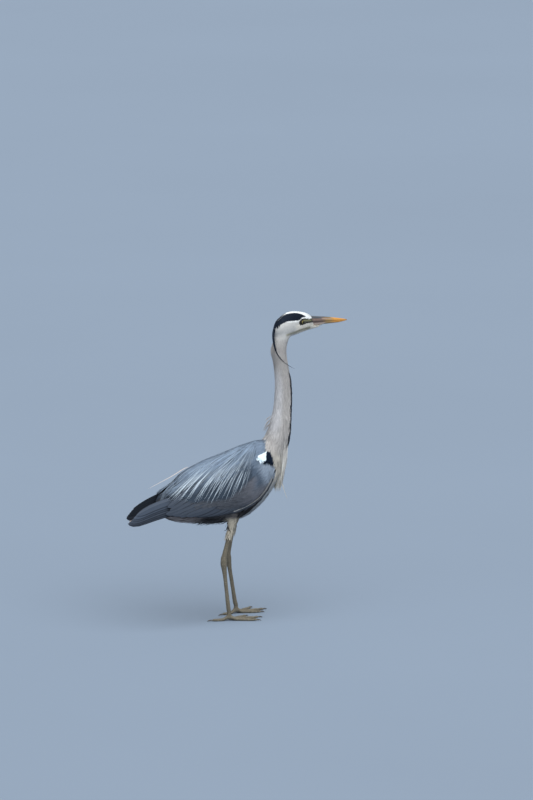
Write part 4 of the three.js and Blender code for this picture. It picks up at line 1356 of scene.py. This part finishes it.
for side_name, side, seed in (("right", -1, 61), ("left", 1, 71)):
    # Secondaries and two tertials: drawn forward from their tips, then seated on the skin.
    rank = np.arange(SECONDARIES)
    tip_x = 22 - 17.5 * rank
    tip_z = np.interp(tip_x, *WING_FOOT) + 1.5 + 1.2 * np.maximum(rank - 8, 0)
    tip_x, tip_z = np.append(tip_x, (-178, -184)), np.append(tip_z, (308, 317))
    rank = np.arange(len(tip_x))
    at = np.column_stack([tip_x, np.zeros(len(tip_x)), tip_z])
    path, reach = [at], np.interp(rank, (0, 6, 12, 14), (60, 96, 110, 96))
    for step in np.diff(QUILL[:, 0])[::-1]:
        at = at - (reach * step)[:, None] * quill_way(at)
        path.append(at)
    path = np.stack(path[::-1], 1)
    seats = np.stack([np.maximum(path[..., 0], -150), np.full(path.shape[:2], side * 60.0), path[..., 2]],
                     -1)
    seats, ups = (found.reshape(path.shape) for found in seated(seats.reshape(-1, 3), skin_surface))
    rear = np.minimum(np.interp(path[..., 0], *BLADE_OUT) - BLADE_OUT_REAR, 0)
    path[..., 1] = seats[..., 1] + side * rear
    path = path + (seats - path) * ease(path[..., 0], -150, -110)[..., None]
    ceiling = np.interp(path[..., 0], *RIDGE) - 18
    path[..., 1] -= side * 3.0 * ease(path[..., 2], 322, 345)
    path[..., 2] = np.minimum(path[..., 2], ceiling)
    secondaries = dress(path, unit(ups * (0.3, 1, 0.6)), reach, QUILL_HALF, QUILL, 2.4 + 0.10 * rank,
                        np.random.default_rng(seed), section=BROAD, thick=0.35, bow=0.05, sink=-0.4,
                        colour=blend(*QUILL_SLATES, rank / len(rank)), tint=0.06, lean=0.25 * side,
                        roll=0.01)
    # Primaries: a stack of long blades, each a little above and outside the one before.
    rank = np.arange(PRIMARIES)
    climb = rank / (PRIMARIES - 1)
    tip_x = (-287 if side < 0 else -276) + 22 * climb**1.6
    x = PRIMARY_ROOT_X + (tip_x - PRIMARY_ROOT_X)[:, None] * QUILL[:, 0]
    low_z, high_z = np.interp(x, BLADE_X, BLADE_LOW), np.interp(x, BLADE_X, BLADE_HIGH)
    z = low_z + (high_z - low_z) * (0.20 + 0.60 * climb[:, None])
    z = z + (10 * ease(-x, 232, 280) if side > 0 else 0)
    path = np.stack([x, side * (np.interp(x, *BLADE_OUT) + 0.35 * rank[:, None] - 0.5), z], -1)
    # The far wing's primaries are painted at 0.55 of the near wing's tone: painted shade on the far side.
    primaries = dress(path, np.broadcast_to(unit(np.array((-0.1, side, 0.25))), path.shape), PRIMARY_REACH,
                      QUILL_HALF, QUILL, 0.2, np.random.default_rng(seed + 1), section=BROAD, thick=0.4,
                      bow=0.05, sink=0, colour=blend(*BLADE_SLATES, climb) * (1 if side < 0 else 0.55),
                      tint=0.08, lean=0.3 * side, roll=0.02)
    coat("flight_feathers_" + side_name, [primaries, secondaries], quill_finish, "quill_feathers",
         "wing_tip_" + side_name)

# ---- Tail: twelve short square-ended feathers, closed like a roof under the wing tips, with soft
# coverts over and under their bases. ----
TAIL_FEATHERS, TAIL_ROOT_X, TAIL_TIP_X, TAIL_COVERTS = 12, -138, -270, 90


def guide(*names):
    """A surface to lay feathers on, from solids of the frame."""
    points, faces, start = [], [], 0
    for name in names:
        corners, triangles = merged(name)
        points.append(corners)
        faces.append(triangles + start)
        start += len(corners)
    points, faces = np.concatenate(points), np.concatenate(faces)
    normals = unit(relaxed(normals_of(points, faces), edges_of(faces), 0.5, 3))
    return BVHTree.FromPolygons(points.tolist(), faces.tolist()), unit(normals[faces].mean(1))


rank = np.arange(TAIL_FEATHERS)
off = (rank - (TAIL_FEATHERS - 1) / 2) / (TAIL_FEATHERS / 2)
share = QUILL[:, 0]
x = TAIL_ROOT_X + (TAIL_TIP_X + 4 * off[:, None] ** 2 - TAIL_ROOT_X) * share
level = np.interp(x, (-274, -262, -235, -200, -150, -130), (277.5, 282, 291, 304, 316, 320))
y = off[:, None] * np.interp(x, (-270, -200, -140), (15, 13, 8))
path = np.stack([x, y, level - 5 * off[:, None] ** 2 - 0.8 * np.abs(off[:, None]) * 3 + 0.4], -1)
ups = unit(np.stack([np.full_like(x, 0.25), 0.5 * off[:, None] + 0 * x, np.full_like(x, 1.0)], -1))
chance = np.random.default_rng(81)
tail_finish = vane_finish("tail_quills", barbs=0.14, pitch=0.8, shaft=0.4, shaft_tone=(0.20, 0.21, 0.22),
                          rough=0.55)
tail = dress(path, ups, 132, 7.0, QUILL, 0.1, chance, section=BROAD, thick=0.35, bow=0.04, sink=0,
             colour=(0.10, 0.12, 0.15), tint=0.05, roll=0.01)
tail_surface = guide("tail", "trunk")
chance = np.random.default_rng(82)
cover_x, cover_y = chance.uniform(-215, -150, TAIL_COVERTS), chance.uniform(-15, 15, TAIL_COVERTS)
over, under = (seated(np.column_stack([cover_x, cover_y, np.full(TAIL_COVERTS, level)]), tail_surface)
               for level in (380, 230))
coat("tail_feathers", [tail], tail_finish, "tail_feathers", "tail")
coat("tail_coverts", [
    lay(*over, 38, 4.2, ROUNDED, 1.6, seed=83, surface=tail_surface, sink=1.5,
        colour=(0.10, 0.125, 0.16)),
    lay(*under, 42, 4.0, ROUNDED, 2.0, seed=84, surface=tail_surface, sink=1.5,
        colour=UNDERTAIL),
], body_finish, "tail_feathers")

# ---- Scapular plumes: long ragged lances from the shoulders that hang over the folded wings,
# slate with the loose ends bleached to silver. ----
SCAPULAR_HIGH, SILVER = (0.156, 0.206, 0.276), (0.46, 0.53, 0.60)


def bleached(share):
    """A tone that darkens down the flank and is bleached by a share towards the loose end."""
    def tone(path):
        flat = path.reshape(-1, 3)
        base = blend(SCAPULAR_HIGH, SCAPULAR_SLATE, ease(hem_share(flat[:, 0], flat[:, 2]), 0.10, 0.5))
        base = blend(base, SHOULDER, ease(flat[:, 0], 20, 52) * ease(flat[:, 2], 448, 412))
        silver = share * ease(LANCE[:, 0], 0.08, 0.58) * (1 - 0.7 * ease(path[..., 0], 15, 50))
        return blend(base.reshape(path.shape), SILVER, silver)
    return tone


def back_form(side):
    """What the scapulars lie over: the skin, carried out over the quills behind the wing."""
    x = np.arange(-215.0, 118.0, 5.0)[:, None]
    down = np.linspace(0, 1, 30) ** 1.3
    z = np.interp(x, *RIDGE) - 4 - 132 * down
    z = z - 0.55 * np.maximum(-173 - x, 0) * (1 - down)
    struck = [skin_tree.ray_cast((px, side * 150.0, pz), (0.0, -side, 0.0))
              for px, pz in zip(np.broadcast_to(x, z.shape).ravel().tolist(), z.ravel().tolist())]
    out = np.array([abs(hit[0].y) if hit[0] else 0.0 for hit in struck]).reshape(z.shape)
    out = np.maximum(out, (np.interp(x, *BLADE_OUT) + 2.5) * ease(-x, 96, 135) * ease(z, 372, 344))
    out[:, 0] = 0
    for _ in range(3):
        out[1:-1] = 0.25 * out[:-2] + 0.5 * out[1:-1] + 0.25 * out[2:]
        out[:, 1:-1] = 0.25 * out[:, :-2] + 0.5 * out[:, 1:-1] + 0.25 * out[:, 2:]
    points = np.stack([np.broadcast_to(x, z.shape), side * out, z], -1).reshape(-1, 3)
    row, column = np.indices((len(x) - 1, len(down) - 1)).reshape(2, -1)
    first = row * len(down) + column
    corners = np.column_stack([first, first + 1, first + len(down) + 1, first + len(down)])
    if side > 0:
        corners = corners[:, ::-1]
    face = points[corners]
    normals = unit(np.cross(face[:, 2] - face[:, 0], face[:, 3] - face[:, 1]))
    normals = normals * np.sign((normals * (0, side, 0.5)).sum(1))[:, None]
    return BVHTree.FromPolygons(points.tolist(), corners.tolist()), normals


def hem_points(count, side, share_low, share_high, chance, front, form):
    """Points spread along the scapulars on one flank, at shares of the way down to their hem."""
    x = -188 + (188 + front) * (np.arange(count) + chance.random(count)) / count
    share = share_low + (share_high - share_low) * chance.random(count)
    z = np.interp(x, *RIDGE) - np.interp(x, *HEM) * share
    spots = [form[0].ray_cast((px, side * 150.0, pz), (0.0, -side, 0.0))
             for px, pz in zip(x.tolist(), z.tolist())]
    spots = [spot for spot in spots if spot[0]]
    return np.array([spot[0] for spot in spots]), form[1][[spot[2] for spot in spots]]


scapular_finish = vane_finish("scapular_plumes", barbs=0.2, pitch=1.4, rough=0.55, shine=0.15)
# Count, shares of the way to the hem, length, half breadth, lift, sink, bleached, tint, loose, front.
SCAPULAR_ROWS = (
    (170, 0.30, 0.97, 68, 3.2, 1.5, -0.8, 0.0, 0.14, 0.0, 44),
    (300, 0.10, 1.00, 84, 1.2, 2.9, -1.7, 0.02, 0.24, 0.4, 52),
    (44, 0.03, 0.60, 90, 0.55, 4.0, -2.4, 0.45, 0.14, 0.4, 46),
    (40, 0.45, 0.98, 110, 0.55, 4.6, -2.6, 0.62, 0.14, 0.6, 44),
    (34, 0.90, 1.10, 142, 0.80, 5.2, -2.8, 0.92, 0.12, 0.8, 34),
)
for side_name, side, seed in (("right", -1, 91), ("left", 1, 96)):
    chance, form = np.random.default_rng(seed), back_form(side)
    batches = []
    for count, low, high, size, half, lift, sink, silver, tint, loose, front in SCAPULAR_ROWS:
        tips = hem_points(count, side, low, high, chance, front, form)
        lift = lift * np.interp(tips[0][:, 0], (5, 60), (1, 0.75))
        batches.append(lay(*tips, size, half, LANCE, lift=lift, seed=seed + len(batches), surface=form,
                           way=drape, backwards=True, rise=0.7, sink=sink, colour=bleached(silver),
                           scatter=0.045, tint=tint, loose=loose, thick=0.18))
    coat("scapulars_" + side_name, batches, scapular_finish, "wing_plumage")

# ---- Foreneck plumes: long loose pale lances that grow from the lower neck and hang over the
# breast, their barbs too few to hold together, with one long one below the rest. ----
# Height, middle x, half depth and half breadth of the mass of plumes.
PLUME_LEVELS = np.array([
    (300, 153, 8, 7), (322, 154, 11, 11), (344, 155, 15, 16), (372, 156, 20, 22), (408, 159, 25, 28),
    (445, 160, 27, 29), (470, 160, 33, 31), (507, 168, 30, 27), (540, 173, 26, 23),
])
LONG_LANCE = np.column_stack([np.linspace(0, 1, 22), np.interp(
    np.linspace(0, 1, 22), (0, .1, .3, .5, .7, .9, 1), (.7, 1, 1, .8, .62, .38, 0))])
LONG_PLUME = ((166, -6, 352), (171, -7, 336), (177, -6, 318), (186, -4, 298))
PLUME_YELLOW = (0.55, 0.50, 0.40)
PLUMES, PLUME_PALE, PLUME_OLIVE = 460, (0.57, 0.54, 0.495), (0.36, 0.32, 0.23)
chance = np.random.default_rng(101)
tip_z = chance.triangular(314, 340, 400, PLUMES)
reach = chance.uniform(62, 104, PLUMES)
turn = np.radians(chance.uniform(-135, 135, PLUMES))
ring_share = chance.uniform(0.82, 1.04, PLUMES)[:, None]
share = LANCE[:, 0]
z = tip_z[:, None] + reach[:, None] * (1 - share)
middle, deep, broad = (np.interp(z, PLUME_LEVELS[:, 0], PLUME_LEVELS[:, k]) for k in (1, 2, 3))
sway = turn[:, None] + 0.10 * chance.standard_normal((PLUMES, 1)) * share
inward = ring_share - 0.10 * (1 - share)
path = np.stack([middle + inward * deep * np.cos(sway), inward * broad * np.sin(sway), z], -1)
ups = np.stack([np.cos(sway), np.sin(sway), np.full_like(z, 0.15)], -1)
plume_finish = vane_finish("foreneck_plumes", barbs=0.2, pitch=1.3, rough=0.6, sheen=0.2)
olive = ease(z, 400, 350) * (chance.random((PLUMES, 1)) < 0.4)
foreneck = dress(path, unit(ups), reach, 1.25, LANCE, 0.4, chance, sink=0.5,
                 colour=blend(blend(NECK_GREY, PLUME_PALE, ease(share, 0.05, 0.4)), PLUME_OLIVE, olive),
                 tint=0.27, loose=1.5)
path, ups, reach = strand(LONG_PLUME, LONG_LANCE[:, 0], (0.5, -0.85, 0))
long_plume = dress(path, ups, reach, 1.3, LONG_LANCE, 0, np.random.default_rng(103), sink=0,
                   colour=PLUME_YELLOW)
coat("foreneck_plumes", [foreneck], plume_finish, "neck_plumage", "breast_plumes")
coat("foreneck_plume_long", [long_plume], plume_finish, "neck_plumage", "breast_plume_long")

# ---- Crest: two long drooping black plumes that grow from the nape and bend across the neck, with
# shorter strands over their roots and the black feathers of the nape they grow among. ----
CREST_LONG = ((158, 4, 764), (152, 6, 752), (145, 0, 738), (143, -8, 716), (145, -16, 694),
              (158, -21, 673), (176, -23, 657), (198, -23, 645))
CREST_SHORT = ((157, 7, 762), (152, 8, 749), (145.5, 2.5, 735), (143, -6, 712.5), (145.4, -15.4, 691),
               (157, -21.5, 671), (172, -24, 657))
crest_finish = vane_finish("crest_feathers", barbs=0.3, pitch=0.9, rough=0.6, sheen=0.0, shine=0.12)
crest = []
for line, half, seed in ((CREST_LONG, 1.3, 111), (CREST_SHORT, 1.05, 112)):
    path, ups, reach = strand(line, LONG_LANCE[:, 0], (-0.6, -0.8, 0))
    crest.append(dress(path, ups, reach, half, LONG_LANCE, 0, np.random.default_rng(seed), sink=0,
                       colour=STRIPE_BLACK))
CREST_STRANDS = 16
chance = np.random.default_rng(116)
middle_line = (np.array(CREST_LONG[:6]) + CREST_SHORT[:6]) / 2
for number in range(CREST_STRANDS):
    stop = 3 + number % 3
    line = middle_line[:stop] + (1.1, 0, 0) + chance.normal(0, (1.2, 0.7, 0.7), (1, 3))
    path, ups, reach = strand(line, LONG_LANCE[:, 0], (-0.6, -0.8, 0))
    crest.append(dress(path, ups, reach, 1.35, LONG_LANCE, 0, chance, sink=0, colour=STRIPE_BLACK))
coat("crest_plume_vane_long", crest[:1] + crest[2:], crest_finish, "crest_feathers", "crest_plume_long")
coat("crest_plume_vane_short", crest[1:2], crest_finish, "crest_feathers", "crest_plume_short")
ahead, across, up = on_head(quad_middle).T
end_ahead, _, end_up = on_head(quad_middle + 20 * lie(quad_middle)).T
nape = (within(ahead, up, CROWN_STRIPE, 0.1) > 0.5) & (ahead < -28) & (up > -50) & (
    within(end_ahead, end_up, CROWN_STRIPE, 0.1) > 0.5)
points, normals = roots_on(nape, lambda at: 2.0, seed=113)
size = np.interp(on_head(points)[:, 2], (-40, 5), (28, 13))
coat("nape_feathers", [
    lay(points, normals, size, 0.9, LANCE, lift=2.2, seed=114, colour=STRIPE_BLACK, scatter=0.05),
], crest_finish, "crest_feathers")

# ---- Loose back plume: one pale scapular plume that still grows from the back but is blown clear
# of the rest. ----
PLUME_BROWN = (0.50, 0.43, 0.38)
BACK_PLUME = ((-104, 2, 408), (-112, 4, 406), (-146, 6, 388), (-180, 8, 374), (-217, 9, 359))
path, ups, reach = strand(BACK_PLUME, LONG_LANCE[:, 0], (-0.3, -0.5, 0.8))
loose_plume = dress(path, ups, reach, 0.9, LONG_LANCE, 0, np.random.default_rng(115), sink=0,
                    colour=PLUME_BROWN)
coat("back_plume_vane", [loose_plume], plume_finish, "wing_plumage", "back_plume")

# ---- Leg scales: overlapping horny plates down the front and back of the legs and along the top
# of each toe. ----
SCALE = np.array([(0, .85), (.35, 1), (.75, .95), (1, 0)])
scale_finish = vane_finish("leg_scales", barbs=0.22, pitch=2.5, rough=0.5, sheen=0.0)
SHANK_FOOT = 16
legs = of_part("leg") & (quad_z > 3.5) & (skin_surface[1][:, 2] > -0.35)
points, normals = roots_on(legs, lambda at: np.where(at[:, 2] < SHANK_FOOT, 2.6, 3.1), seed=121)
on_toes = points[:, 2] < SHANK_FOOT


def down_leg(at):
    """Down the shank, then out along the toes."""
    return np.where((at[:, 2] > SHANK_FOOT)[:, None], (-0.1, 0.0, -1.0), (1.0, 0.0, 0.0))


coat("leg_scales", [
    lay(points, normals, np.where(on_toes, 4.2, 5.2), np.where(on_toes, 1.9, 2.1), SCALE,
        lift=0.35, seed=122, way=down_leg, thick=0.3, sink=0.35, bow=0.25, scatter=0.05,
        colour=LEG_BROWN, tint=0.12, rise=0.6),
], scale_finish, "leg_skin")
